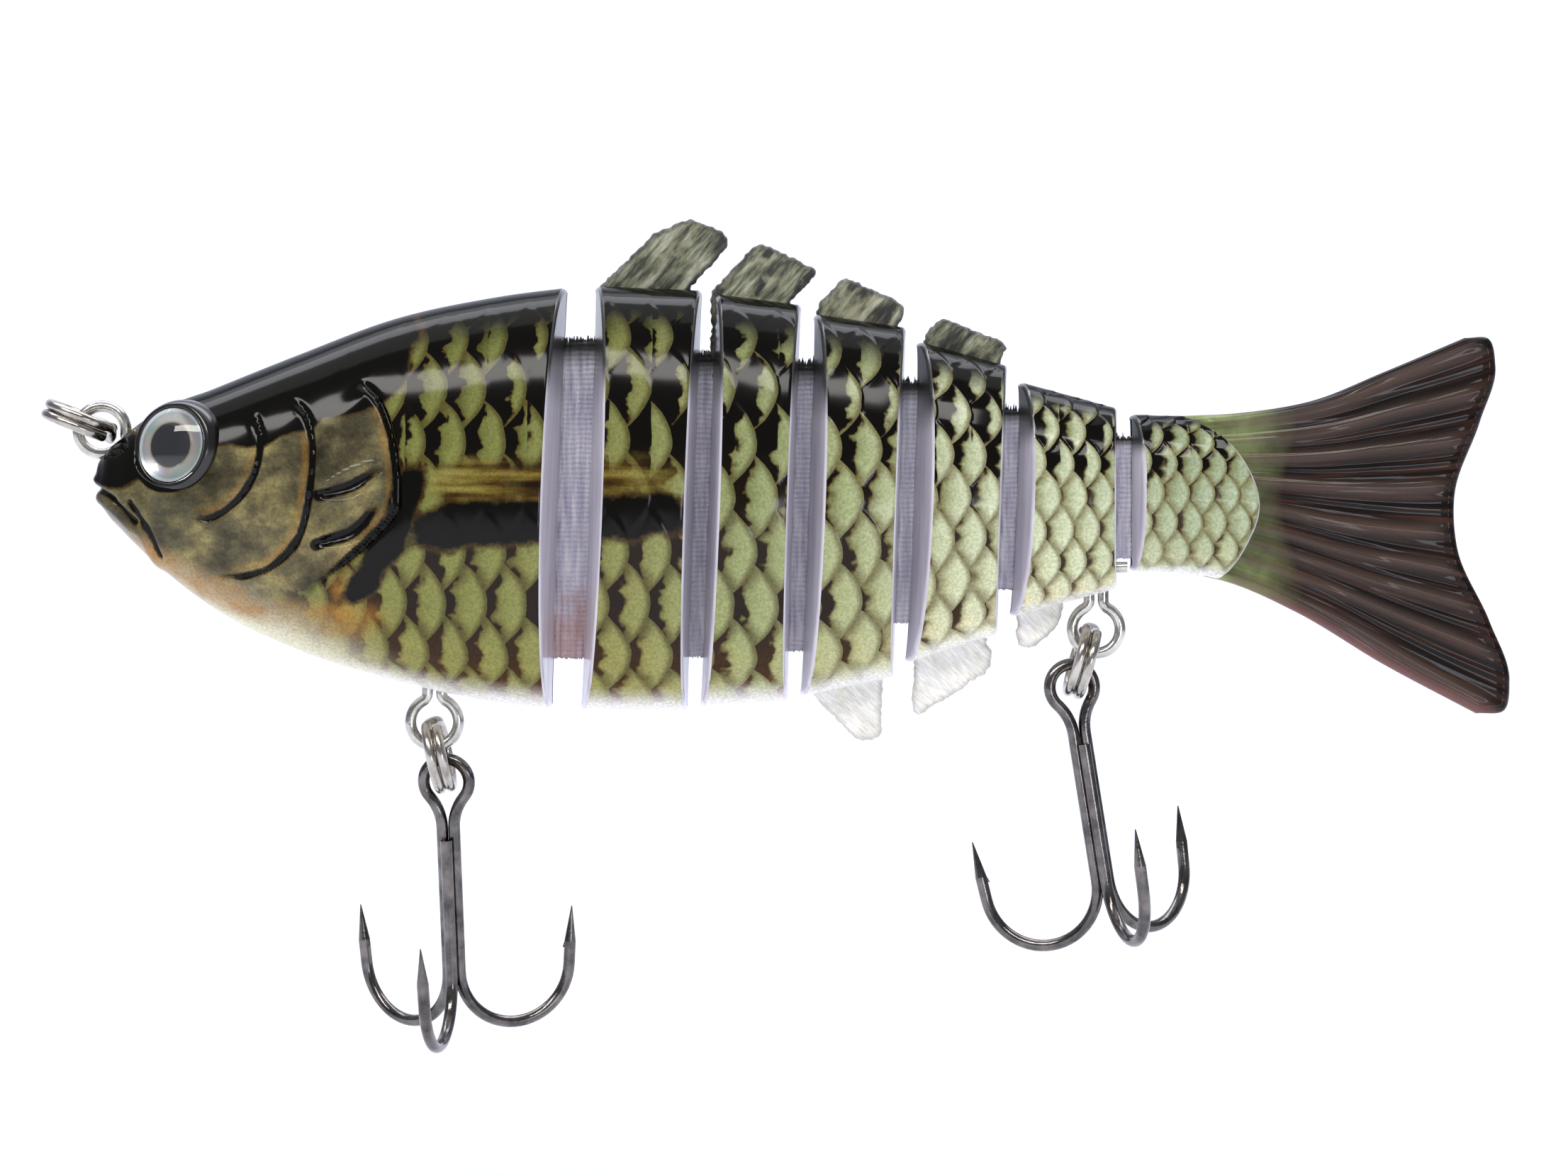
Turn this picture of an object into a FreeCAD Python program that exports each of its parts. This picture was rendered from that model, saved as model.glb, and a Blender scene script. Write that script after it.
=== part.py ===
"""Seven-piece jointed swimbait: a hard-bodied fishing lure whose body pieces hang on one woven sheet.

Each body piece is a left and a right plastic shell, welded together over the woven sheet. The sheet is the
hinge in every gap, and its lobes stand out as the fins. Wire hangers are trapped between the shells, and
split rings join them to the treble hooks and to the line.

Frame: +X runs from nose to tail, +Z is the back, the left flank faces -Y. Millimetres. The origin is the
centre of the line tie, the wire eye on the nose.
"""
import FreeCAD, Part

import math
import os

V = FreeCAD.Vector
X_AXIS, Y_AXIS, Z_AXIS = V(1, 0, 0), V(0, 1, 0), V(0, 0, 1)
LEFT, RIGHT = -1, 1
SIDE_NAMES = {LEFT: "left", RIGHT: "right"}

# Head: stations from the nose backwards, each (x, top, bottom, half width).
HEAD_STATIONS = [
    (-0.15, -2.6, -4.6, 0.9),
    (0.3, -1.7, -5.7, 2.1),
    (1.6, -0.5, -7.2, 3.4),
    (4.0, 1.3, -9.5, 4.7),
    (8.0, 2.9, -12.6, 5.9),
    (14.0, 5.3, -15.6, 6.9),
    (21.0, 7.9, -17.8, 7.4),
    (28.0, 9.4, -19.3, 7.6),
    (36.0, 10.4, -20.0, 7.6),
]
HEAD_LENGTH = 32.5
HEAD_REAR_BEVEL = 0.7
HEAD_REAR_HALF_WIDTH = 7.6
HEAD_CAVITY_START = 9.5

# Body pieces behind the head, in order. gap: open space in front, at the centre plane. front and rear: (top,
# bottom, half width) of the end sections. bevel: how far the flanks' ends are cut back. sheet: (top, bottom)
# of the woven sheet in the gap in front. lean: degrees by which that gap's top leans towards the tail.
BODY = [
    {"name": "segment_1", "gap": 2.0, "length": 7.6, "front": (10.2, -19.8, 7.5), "rear": (9.9, -19.9, 7.4),
     "front_bevel": 1.2, "rear_bevel": 0.4, "sheet": (6.6, -16.1), "lean": 2.0},
    {"name": "segment_2", "gap": 0.9, "length": 6.2, "front": (9.7, -19.6, 7.2), "rear": (8.9, -19.2, 6.9),
     "front_bevel": 0.8, "rear_bevel": 0.4, "sheet": (5.6, -16.0), "lean": 2.0},
    {"name": "segment_3", "gap": 0.9, "length": 6.6, "front": (8.3, -18.8, 6.7), "rear": (7.3, -17.4, 6.2),
     "front_bevel": 1.0, "rear_bevel": 0.4, "sheet": (5.0, -15.6), "lean": 2.0},
    {"name": "segment_4", "gap": 0.8, "length": 6.5, "front": (6.4, -16.4, 5.9), "rear": (4.6, -14.3, 5.2),
     "front_bevel": 1.1, "rear_bevel": 0.4, "sheet": (3.6, -13.6), "lean": 2.0},
    {"name": "segment_5", "gap": 0.8, "length": 7.3, "front": (3.5, -13.2, 4.8), "rear": (1.5, -11.2, 4.0),
     "front_bevel": 0.9, "rear_bevel": 0.4, "sheet": (1.6, -11.2), "lean": 2.0},
]
FLANK_CROWN = 0.15          # how much fuller a body piece is half way along

# Tail: a scaled root of two shells that holds the blade.
TAIL_GAP = 0.8
TAIL_SHEET = (-0.4, -9.0)
TAIL_LEAN = 0.0
TAIL_ROOT = [                # (distance behind the front, top, bottom, half width)
    (0.0, 1.1, -10.0, 3.6),
    (4.0, 1.05, -10.2, 3.1),
    (8.0, 1.5, -11.0, 2.4),
    (11.0, 2.2, -12.4, 1.7),
]
TAIL_FRONT_BEVEL = 0.7
TAIL_DOME_START = 3.3       # where the rounded rear edge of the root leaves its back line
TAIL_DOME_REACH = 9.1       # furthest point of that edge behind the front
TAIL_DOME_MID_Z = -5.6

JOINT_MID_Z = -4.5          # height at which gaps are measured
SECTION_POWER = 0.8         # under 1 gives a fuller, flatter flank than an ellipse
WALL = 1.4
END_WALL = 1.3

# Woven sheet
SHEET_THICKNESS = 0.7
SHEET_TIP_CLEARANCE = 0.05  # from each sheet edge to the hinge axis
SHEET_HEAD_REACH = 6.4      # how far the sheet runs into the head
SHEET_TAIL_REACH = 4.2      # how far it runs into the tail
# Fin lobes: (distance behind the piece's front, height above its front top), in order round the lobe.
DORSAL_FINS = {
    "segment_1": [(0.9, 0.1), (4.9, 3.9), (7.2, 4.8), (9.6, 3.9), (10.0, 3.0), (7.2, -0.2)],
    "segment_2": [(0.2, 0.1), (3.3, 3.4), (3.8, 3.6), (7.6, 1.8), (7.6, 1.3), (5.8, -0.6)],
    "segment_3": [(0.6, 0.0), (0.8, 0.7), (2.4, 2.4), (3.0, 2.4), (6.3, 0.9), (7.0, 0.1), (6.4, -0.8)],
    "segment_4": [(0.8, -0.3), (1.0, 0.6), (1.8, 1.4), (2.4, 1.5), (6.3, -0.1), (6.7, -0.5), (6.2, -1.9)],
}
# The same below the belly: (distance behind the piece's front, depth below its front bottom).
ANAL_FINS = {
    "segment_3": [(0.2, -0.1), (3.5, 3.2), (4.5, 3.2), (5.2, 2.9), (5.3, -1.0)],
    "segment_4": [(0.1, 0.2), (0.0, 3.5), (0.4, 3.8), (3.0, 2.3), (5.5, 0.6), (5.6, -0.8), (5.2, -1.4)],
    "segment_5": [(0.1, 0.1), (0.1, 2.0), (0.7, 2.3), (1.4, 2.1), (2.8, 1.0), (3.3, 0.0), (3.4, -0.7)],
}
FIN_ROOT_DEPTH = 5.0        # how far a lobe's root reaches into its piece
FIN_CORNER = 0.45           # rounding of the lobes' corners

# Locating pegs on the left shell, which pin the sheet
PEG_RADIUS = 0.8
PEG_CLEARANCE = 0.05
BOSS_RADIUS = 1.7
PEG_REACH = 1.5             # past the centre plane
PEG_INSET = 5.5             # from the back or belly to a peg

# Tail blade
BLADE_THICKNESS = 1.1
BLADE_EDGE_THICKNESS = 0.7
BLADE_TONGUE_START = 4.9    # behind the tail's front
BLADE_PEG = (6.6, -4.6)     # (distance behind the front, z)
# Blade outline behind the tail's front: upper edge, trailing edge and lower edge, as (distance, z).
BLADE_UPPER = [(3.4, 1.0), (8.0, 1.25), (13.0, 2.1), (18.0, 4.1), (23.8, 6.55)]
BLADE_TRAILING = [(26.0, 4.6), (24.9, 0.6), (23.1, -4.6), (23.3, -8.4), (25.6, -13.6), (27.0, -17.8)]
BLADE_LOWER = [(24.6, -20.1), (18.0, -16.6), (11.8, -12.9), (7.0, -10.8), (3.4, -10.0)]

# Eyes
EYE_CENTRE = (5.9, -1.3)    # (x, z)
EYE_RADIUS = 2.6
EYE_TURN = 24.0             # degrees by which an eye looks forward
EYE_TILT = 8.0              # degrees by which an eye looks up
EYE_PRINT_THICKNESS = 0.2
EYE_DOME_HEIGHT = 0.75
EYE_DOME_RIM = 0.25
EYE_GLUE = 0.02             # between the print and the dome
EYE_STAND_OFF = 4.6         # from the centre plane to the seat, along the eye's own axis
EYE_CLEARANCE = 0.05

# Ballast
BALLAST_RADIUS = 2.4
BALLAST_LENGTH = 9.0
BALLAST_START = 11.5
BALLAST_Z = -10.6
BALLAST_RIB = 1.3
BALLAST_CLEARANCE = 0.05
SHOT_RADIUS = 1.5           # one shot in each shell of segment_1
SHOT_INSET = 9.5            # above the belly

# Wire hangers: the line tie and two hook hangers
HANGER_WIRE = 0.8
HANGER_RADIUS = 1.7         # of the wire's centre line
HANGER_LEG_SPREAD = 0.5
HANGER_FILLET = 0.6
HANGER_LEG = 4.4            # from the eye's centre to the feet
HANGER_FOOT = 1.1
HANGER_CLEARANCE = 0.02
LINE_TIE_LEG_DOWN = 35.0    # degrees below level at which the line tie's legs enter the head
FRONT_HANGER_X = 23.6
FRONT_HANGER_DROP = 2.35    # from the belly to the eye's centre
REAR_HANGER_X = 5.75        # behind the front of segment_5
REAR_HANGER_DROP = 2.5
HANGER_BLOCK = (2.6, 1.7)   # half length and half width of the solid plastic round a hanger

# Split rings
RING_WIRE = 0.72
RING_RADIUS = 2.4           # of the wire's centre line
COIL_GAP = 0.03
COIL_STEP_ANGLE = 45.0      # part of a turn over which the wire crosses to its second coil
COIL_END_GAP = 8.0          # degrees left open at each end of the wire

# Treble hooks
HOOK_WIRE = 0.85
HOOK_WIRE_GAP = 0.02        # between the brazed wires
HOOK_EYE_RADIUS = 1.65
HOOK_EYE_FILLET = 3.4
HOOK_LENGTH = 19.6          # from the eye's centre line top to the bend's lowest centre line
HOOK_BEND_RADIUS = 4.1
HOOK_POINT_HEIGHT = 8.4     # from the lowest centre line of the bend to the point
HOOK_POINT_LENGTH = 2.6
HOOK_POINT_RAKE = 5.0       # degrees by which the point leans outwards
HOOK_POINT_TIP = 0.04       # radius of the very tip
BARB_LENGTH = 1.1
BARB_RADIUS = 0.26
BARB_DROP = 0.5             # of the barb below the point's shoulder
BARB_ANGLE = 30.0
THIRD_HOOK_START = 4.1      # below the eye's centre

# How the free parts lie at rest
EYE_OVER_RING = 0.4         # from the ring's low wire up to the hook's eye centre
LINE_RING_REACH = 1.65      # from the line tie's centre to its ring's centre
LINE_RING_TILT = 22.0       # degrees by which the line tie's ring points up
FRONT_RING_REACH = 2.35     # from the hanger's centre to the ring's centre
FRONT_RING_PLACE = -8.0     # degrees round the hanger's eye from its lowest point, forwards
FRONT_RING_TILT = -12.0     # degrees about +Y
FRONT_HOOK_TILT = -1.7
FRONT_HOOK_SPIN = -10.0     # degrees about its own shank
FRONT_SWING = 8.0           # degrees about +X: the front ring and hook lie over towards +Y
REAR_RING_REACH = 2.42
REAR_RING_PLACE = 24.0
REAR_RING_TILT = 16.0
REAR_HOOK_TILT = -9.0
REAR_HOOK_SPIN = 13.0
REAR_SWING = 0.0


# ---- small helpers ----------------------------------------------------------
def rotated(shape, centre, axis, degrees):
    """A copy of shape turned about an axis through centre."""
    turned = shape.copy()
    turned.rotate(centre, axis, degrees)
    return turned


def between(pairs, x):
    """Straight-line interpolation in a list of (x, value), carried on past its ends."""
    for (x0, v0), (x1, v1) in zip(pairs, pairs[1:]):
        if x <= x1:
            break
    return v0 + (v1 - v0) * (x - x0) / (x1 - x0)


def export(name, *solids):
    shape = solids[0] if len(solids) == 1 else Part.makeCompound(list(solids))
    shape.exportStep(os.path.join("parts", name + ".step"))
    print(f"{name:28s} {len(shape.Solids)} solid(s)  {shape.Volume:9.3f} mm3  valid {shape.isValid()}")


# ---- shells -----------------------------------------------------------------
def half_section(x, top, bottom, half_width, side):
    """One flank's closed outline at x: a full curve from back to belly, and a line up the centre plane."""
    centre, half_height = (top + bottom) / 2, (top - bottom) / 2
    points = []
    steps = 12
    for i in range(steps + 1):
        a = math.pi * i / steps
        y = side * half_width * max(0.0, math.sin(a)) ** SECTION_POWER
        points.append(V(x, y, centre + half_height * math.cos(a)))
    curve = Part.BSplineCurve()
    curve.interpolate(Points=points)
    return Part.Wire([curve.toShape(), Part.makeLine(points[-1], points[0])])


def half_loft(stations, side, inset=0.0):
    """The half solid through (x, top, bottom, half width) stations, all round smaller by inset."""
    wires = []
    for x, top, bottom, half_width in stations:
        wires.append(half_section(x, top - inset, bottom + inset, half_width - inset, side))
    return Part.makeLoft(wires, True, False)


def end_cutter(x, bevel, half_width, side, lean, facing):
    """What lies past a piece's end face. facing is -1 at the front of a piece and 1 at its rear."""
    reach_y, reach_x, low, high = 20.0, 40.0, -45.0, 35.0
    slope = bevel * reach_y / half_width
    corners = [
        V(x + facing * reach_x, 0, low), V(x, 0, low),
        V(x - facing * slope, side * reach_y, low), V(x + facing * reach_x, side * reach_y, low),
    ]
    prism = Part.Face(Part.makePolygon(corners + corners[:1])).extrude(V(0, 0, high - low))
    return rotated(prism, V(x, 0, JOINT_MID_Z), Y_AXIS, lean)


def peg_post(x, z, side, radius, inner, reach=20.0):
    """A round post across the lure from inner, a distance from the centre plane, out towards the flank."""
    return Part.makeCylinder(radius, reach - inner, V(x, side * inner, z), V(0, side, 0))


def shell(hull, cavity, posts, side, extras=()):
    """A hollow half with peg posts. The left half carries the pegs, the right half their sockets."""
    body = hull.cut(cavity) if cavity else hull
    for x, z in posts:
        body = body.fuse(peg_post(x, z, side, BOSS_RADIUS, 0.0).common(hull))
    for block in extras:
        body = body.fuse(block.common(hull))
    return body


def add_pegs(body, posts, side):
    """Pegs that stand out of the left shell, or the sockets that take them in the right one."""
    for x, z in posts:
        if side == LEFT:
            peg = Part.makeCylinder(PEG_RADIUS, PEG_REACH + WALL, V(x, -WALL, z), Y_AXIS)
            body = body.fuse(peg)
        else:
            depth = PEG_REACH + PEG_CLEARANCE
            body = body.cut(Part.makeCylinder(PEG_RADIUS + PEG_CLEARANCE, depth, V(x, 0, z), Y_AXIS))
    return body


# ---- woven sheet ------------------------------------------------------------
def lean_x(x, z, lean):
    """x of a leaning gap's line at height z."""
    return x + (z - JOINT_MID_Z) * math.tan(math.radians(lean))


def rounded_outline(points, radius):
    """A closed wire in the XZ plane through corners, each rounded as far as its sides allow."""
    edges, ends = [], []
    turning = []
    for i, p in enumerate(points):
        into, out = p - points[i - 1], points[(i + 1) % len(points)] - p
        if into.getAngle(out) > math.radians(2):
            turning.append(p)
    n = len(turning)
    for i, p in enumerate(turning):
        to_a, to_b = turning[i - 1] - p, turning[(i + 1) % n] - p
        half_turn = to_a.getAngle(to_b) / 2
        reach = min(radius / math.tan(half_turn), 0.45 * to_a.Length, 0.45 * to_b.Length)
        start = p + to_a.normalize() * reach
        end = p + to_b.normalize() * reach
        depth = reach * math.tan(half_turn)
        middle = (to_a + to_b).normalize()
        ends.append((start, p + middle * (depth / math.sin(half_turn) - depth), end))
    for i, (start, mid, end) in enumerate(ends):
        edges.append(Part.Arc(start, mid, end).toShape())
        edges.append(Part.makeLine(end, ends[(i + 1) % n][0]))
    return Part.Wire(edges)


def plate(wire, thickness):
    """A flat plate about the centre plane from an outline in the XZ plane."""
    face = Part.Face(wire)
    face.translate(V(0, -thickness / 2, 0))
    return face.extrude(V(0, thickness, 0))


def sheet_edge(x, top, bottom, lean):
    """The round edge that the sheet turns on in a gap: a rod along the gap."""
    low = V(lean_x(x, bottom, lean), 0, bottom)
    high = V(lean_x(x, top, lean), 0, top)
    return Part.makeCylinder(SHEET_THICKNESS / 2, (high - low).Length, low, high - low)


def sheet_panel(front, rear, lobes, posts):
    """One piece of the sheet. front and rear are its edges: (x, top, bottom, lean), lean None if plain."""
    corners = []
    for x, top, bottom, lean in (front, rear):
        pair = [V(lean_x(x, bottom, lean or 0.0), 0, bottom), V(lean_x(x, top, lean or 0.0), 0, top)]
        corners += pair if not corners else pair[::-1]
    panel = plate(Part.makePolygon(corners + corners[:1]), SHEET_THICKNESS)
    for x, top, bottom, lean in (front, rear):
        if lean is not None:
            panel = panel.fuse(sheet_edge(x, top, bottom, lean))
    for lobe in lobes:
        panel = panel.fuse(plate(rounded_outline(lobe, FIN_CORNER), SHEET_THICKNESS))
    panel = panel.removeSplitter()
    for x, z in posts:
        radius = PEG_RADIUS + PEG_CLEARANCE
        panel = panel.cut(Part.makeCylinder(radius, 4, V(x, -2, z), Y_AXIS))
    return panel


def fin_lobe(outline, front_x, edge_z, up):
    """A fin's corners, with a root that runs into its piece. up is 1 for the back and -1 for the belly."""
    corners = [V(front_x + dx, 0, edge_z + up * dz) for dx, dz in outline]
    first, last = corners[0], corners[-1]
    root = [V(last.x, 0, last.z - up * FIN_ROOT_DEPTH), V(first.x, 0, first.z - up * FIN_ROOT_DEPTH)]
    return corners + root


# ---- wire -------------------------------------------------------------------
def eye_path(radius, spread, fillet):
    """Points of an open eye about the origin, legs up: (leg, fillet middle, eye joint) on the left side."""
    fillet_z = math.sqrt((radius + fillet) ** 2 - (spread + fillet) ** 2)
    centre = V(-spread - fillet, 0, fillet_z)
    joint = centre * (radius / (radius + fillet))
    leg = V(-spread, 0, fillet_z)
    middle = centre + ((leg - centre) + (joint - centre)).normalize() * fillet
    return leg, middle, joint


def mirrored(p):
    return V(-p.x, p.y, p.z)


def pipe(edges, radius, start, direction):
    """A round wire along joined edges."""
    profile = Part.Wire(Part.makeCircle(radius, start, direction))
    return Part.Wire(edges).makePipeShell([profile], True, False)


def hanger(wire_radius, length_over=0.0):
    """A wire eye about the origin with its two legs up and its feet turned out."""
    leg, middle, joint = eye_path(HANGER_RADIUS, HANGER_LEG_SPREAD, HANGER_FILLET)
    bend = HANGER_FILLET
    knee = V(leg.x, 0, HANGER_LEG - bend)
    turn = V(leg.x - bend * (1 - math.sqrt(0.5)), 0, HANGER_LEG - bend * (1 - math.sqrt(0.5)))
    ankle = V(leg.x - bend, 0, HANGER_LEG)
    foot = V(leg.x - bend - HANGER_FOOT - length_over, 0, HANGER_LEG)
    edges = [
        Part.makeLine(foot, ankle),
        Part.Arc(ankle, turn, knee).toShape(),
        Part.makeLine(knee, leg),
        Part.Arc(leg, middle, joint).toShape(),
        Part.Arc(joint, V(0, 0, -HANGER_RADIUS), mirrored(joint)).toShape(),
        Part.Arc(mirrored(joint), mirrored(middle), mirrored(leg)).toShape(),
        Part.makeLine(mirrored(leg), mirrored(knee)),
        Part.Arc(mirrored(knee), mirrored(turn), mirrored(ankle)).toShape(),
        Part.makeLine(mirrored(ankle), mirrored(foot)),
    ]
    return pipe(edges, wire_radius, foot, X_AXIS)


def split_ring():
    """Two coils of wire about the origin, in planes square to X, joined by a short crossing."""
    half_pitch = (RING_WIRE + COIL_GAP) / 2

    def on_ring(degrees, x):
        a = math.radians(degrees)
        return V(x, RING_RADIUS * math.sin(a), RING_RADIUS * math.cos(a))

    def coil(first, last, x):
        return Part.Arc(on_ring(first, x), on_ring((first + last) / 2, x), on_ring(last, x)).toShape()

    half_step = COIL_STEP_ANGLE / 2
    crossing_points = []
    steps = 6
    for i in range(steps + 1):
        share = i / steps
        ease = share * share * (3 - 2 * share)
        angle = -half_step + COIL_STEP_ANGLE * share
        crossing_points.append(on_ring(angle, half_pitch * (2 * ease - 1)))

    def heading(degrees):
        a = math.radians(degrees)
        return V(0, math.cos(a), -math.sin(a))

    crossing = Part.BSplineCurve()
    start_way, end_way = heading(-half_step), heading(half_step)
    crossing.interpolate(Points=crossing_points, InitialTangent=start_way, FinalTangent=end_way)
    start = -360 + half_step + COIL_END_GAP
    end = 360 - half_step - COIL_END_GAP
    edges = [coil(start, -half_step, -half_pitch), crossing.toShape(), coil(half_step, end, half_pitch)]
    return pipe(edges, RING_WIRE / 2, on_ring(start, -half_pitch), heading(start))


def hook_point(bend_end, outward):
    """The straight end of a hook above its bend: shaft, point and barb. outward is the way the hook bends."""
    rake = math.radians(HOOK_POINT_RAKE)
    up = Z_AXIS * math.cos(rake) + outward * math.sin(rake)
    wire_radius = HOOK_WIRE / 2
    shaft_length = HOOK_POINT_HEIGHT - HOOK_BEND_RADIUS - HOOK_POINT_LENGTH
    shoulder = bend_end + up * shaft_length
    shaft = Part.makeCylinder(wire_radius, shaft_length, bend_end, up)
    point = Part.makeCone(wire_radius, HOOK_POINT_TIP, HOOK_POINT_LENGTH, shoulder, up)
    barb_angle = math.radians(BARB_ANGLE)
    barb_way = up * -math.cos(barb_angle) - outward * math.sin(barb_angle)
    barb_root = shoulder + up * BARB_DROP
    barb = Part.makeCone(BARB_RADIUS, HOOK_POINT_TIP, BARB_LENGTH, barb_root, barb_way)
    return shaft.fuse(point).fuse(barb)


def bend_edges(shank_foot, outward):
    """The round bend of a hook from the foot of its shank, and the place and way where its point starts."""
    centre = shank_foot + outward * HOOK_BEND_RADIUS
    rake = math.radians(HOOK_POINT_RAKE)
    last = centre + (outward * math.cos(rake) - Z_AXIS * math.sin(rake)) * HOOK_BEND_RADIUS
    sweep = (math.pi - rake) / 2
    middle = centre - (outward * math.cos(sweep) + Z_AXIS * math.sin(sweep)) * HOOK_BEND_RADIUS
    return Part.Arc(shank_foot, middle, last).toShape(), last


def treble():
    """A treble hook about its eye's centre, hanging down: the double wire with the eye, and the third."""
    wire_radius = HOOK_WIRE / 2
    spread = wire_radius + HOOK_WIRE_GAP / 2
    leg, middle, joint = (V(p.x, 0, -p.z) for p in eye_path(HOOK_EYE_RADIUS, spread, HOOK_EYE_FILLET))
    foot_z = HOOK_EYE_RADIUS - HOOK_LENGTH + HOOK_BEND_RADIUS
    side_angle = math.radians(30.0)
    rear_left = V(-math.cos(side_angle), math.sin(side_angle), 0)
    foot = V(leg.x, 0, foot_z)
    left_bend, left_end = bend_edges(foot, rear_left)
    right_bend, right_end = bend_edges(mirrored(foot), mirrored(rear_left))
    edges = [
        left_bend,
        Part.makeLine(foot, leg),
        Part.Arc(leg, middle, joint).toShape(),
        Part.Arc(joint, V(0, 0, HOOK_EYE_RADIUS), mirrored(joint)).toShape(),
        Part.Arc(mirrored(joint), mirrored(middle), mirrored(leg)).toShape(),
        Part.makeLine(mirrored(leg), mirrored(foot)),
        right_bend,
    ]
    rake = math.radians(HOOK_POINT_RAKE)
    end_way = Z_AXIS * -math.cos(rake) - rear_left * math.sin(rake)
    double = pipe(edges, wire_radius, left_end, end_way)
    double = double.fuse(hook_point(left_end, rear_left)).fuse(hook_point(right_end, mirrored(rear_left)))
    nest = -math.sqrt((HOOK_WIRE + HOOK_WIRE_GAP) ** 2 - spread ** 2)
    third_top = V(0, nest, -THIRD_HOOK_START)
    third_foot = V(0, nest, foot_z)
    forward = V(0, -1, 0)
    bend, bend_end = bend_edges(third_foot, forward)
    third = pipe([Part.makeLine(third_top, third_foot), bend], wire_radius, third_top, Z_AXIS)
    return double, third.fuse(hook_point(bend_end, forward))


# ---- placing the free parts -------------------------------------------------
def ring_and_hook(eye, reach, place, ring_tilt, hook_tilt, spin, swing, hook):
    """A split ring through a hanger's eye, with a treble on it."""
    a = math.radians(place)
    ring_centre = eye + V(-math.sin(a), 0, -math.cos(a)) * reach
    tilt = math.radians(ring_tilt)
    low_wire = ring_centre - V(math.sin(tilt), 0, math.cos(tilt)) * RING_RADIUS
    ring = rotated(split_ring(), V(), Z_AXIS, 180)
    ring = rotated(ring, V(), Y_AXIS, ring_tilt)
    ring.translate(ring_centre)
    lean = math.radians(hook_tilt)
    eye_centre = low_wire + V(math.sin(lean), 0, math.cos(lean)) * EYE_OVER_RING
    pieces = []
    for wire in hook:
        placed = rotated(rotated(wire, V(), Z_AXIS, spin), V(), Y_AXIS, hook_tilt)
        placed.translate(eye_centre)
        pieces.append(placed)
    normal = V(math.cos(tilt), 0, -math.sin(tilt))
    swung = [rotated(piece, ring_centre, normal, swing) for piece in [ring, *pieces]]
    about = FreeCAD.Rotation(normal, swing)
    pivot = about.multVec(low_wire - ring_centre) + ring_centre
    swing_axis = about.multVec(Y_AXIS)
    report = (("ring centre", ring_centre), ("axis", normal), ("hook pivot", pivot), ("axis", swing_axis))
    print("  ".join(f"{label} {tuple(round(c, 4) for c in place)}" for label, place in report))
    return swung


# ---- whole pieces -----------------------------------------------------------
def head_bottom(x):
    return between([(s[0], s[2]) for s in HEAD_STATIONS], x)


def place_hanger(shape, centre, legs_down):
    """A hanger with its legs turned from straight up to point legs_down degrees below +X."""
    placed = rotated(shape, V(), Y_AXIS, 90.0 + legs_down)
    placed.translate(centre)
    return placed


def eye_axis(side):
    """The way an eye looks."""
    turn, tilt = math.radians(EYE_TURN), math.radians(EYE_TILT)
    return V(-math.sin(turn), side * math.cos(turn) * math.cos(tilt), math.cos(turn) * math.sin(tilt))


def eye_parts(side):
    """The printed disc, the clear dome and the seat that they need in the head."""
    axis = eye_axis(side)
    seat = V(EYE_CENTRE[0], 0, EYE_CENTRE[1]) + V(0, side * EYE_STAND_OFF, 0)
    disc = Part.makeCylinder(EYE_RADIUS, EYE_PRINT_THICKNESS, seat, axis)
    rim_start = seat + axis * (EYE_PRINT_THICKNESS + EYE_GLUE)
    rim = Part.makeCylinder(EYE_RADIUS, EYE_DOME_RIM, rim_start, axis)
    ball_radius = (EYE_RADIUS ** 2 + EYE_DOME_HEIGHT ** 2) / (2 * EYE_DOME_HEIGHT)
    ball = Part.makeSphere(ball_radius, rim_start + axis * (EYE_DOME_RIM + EYE_DOME_HEIGHT - ball_radius))
    tall = Part.makeCylinder(EYE_RADIUS, EYE_DOME_RIM + EYE_DOME_HEIGHT, rim_start, axis)
    dome = tall.common(ball)
    opening = Part.makeCylinder(EYE_RADIUS + EYE_CLEARANCE, 6.0, seat, axis)
    return disc, dome, opening


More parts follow.
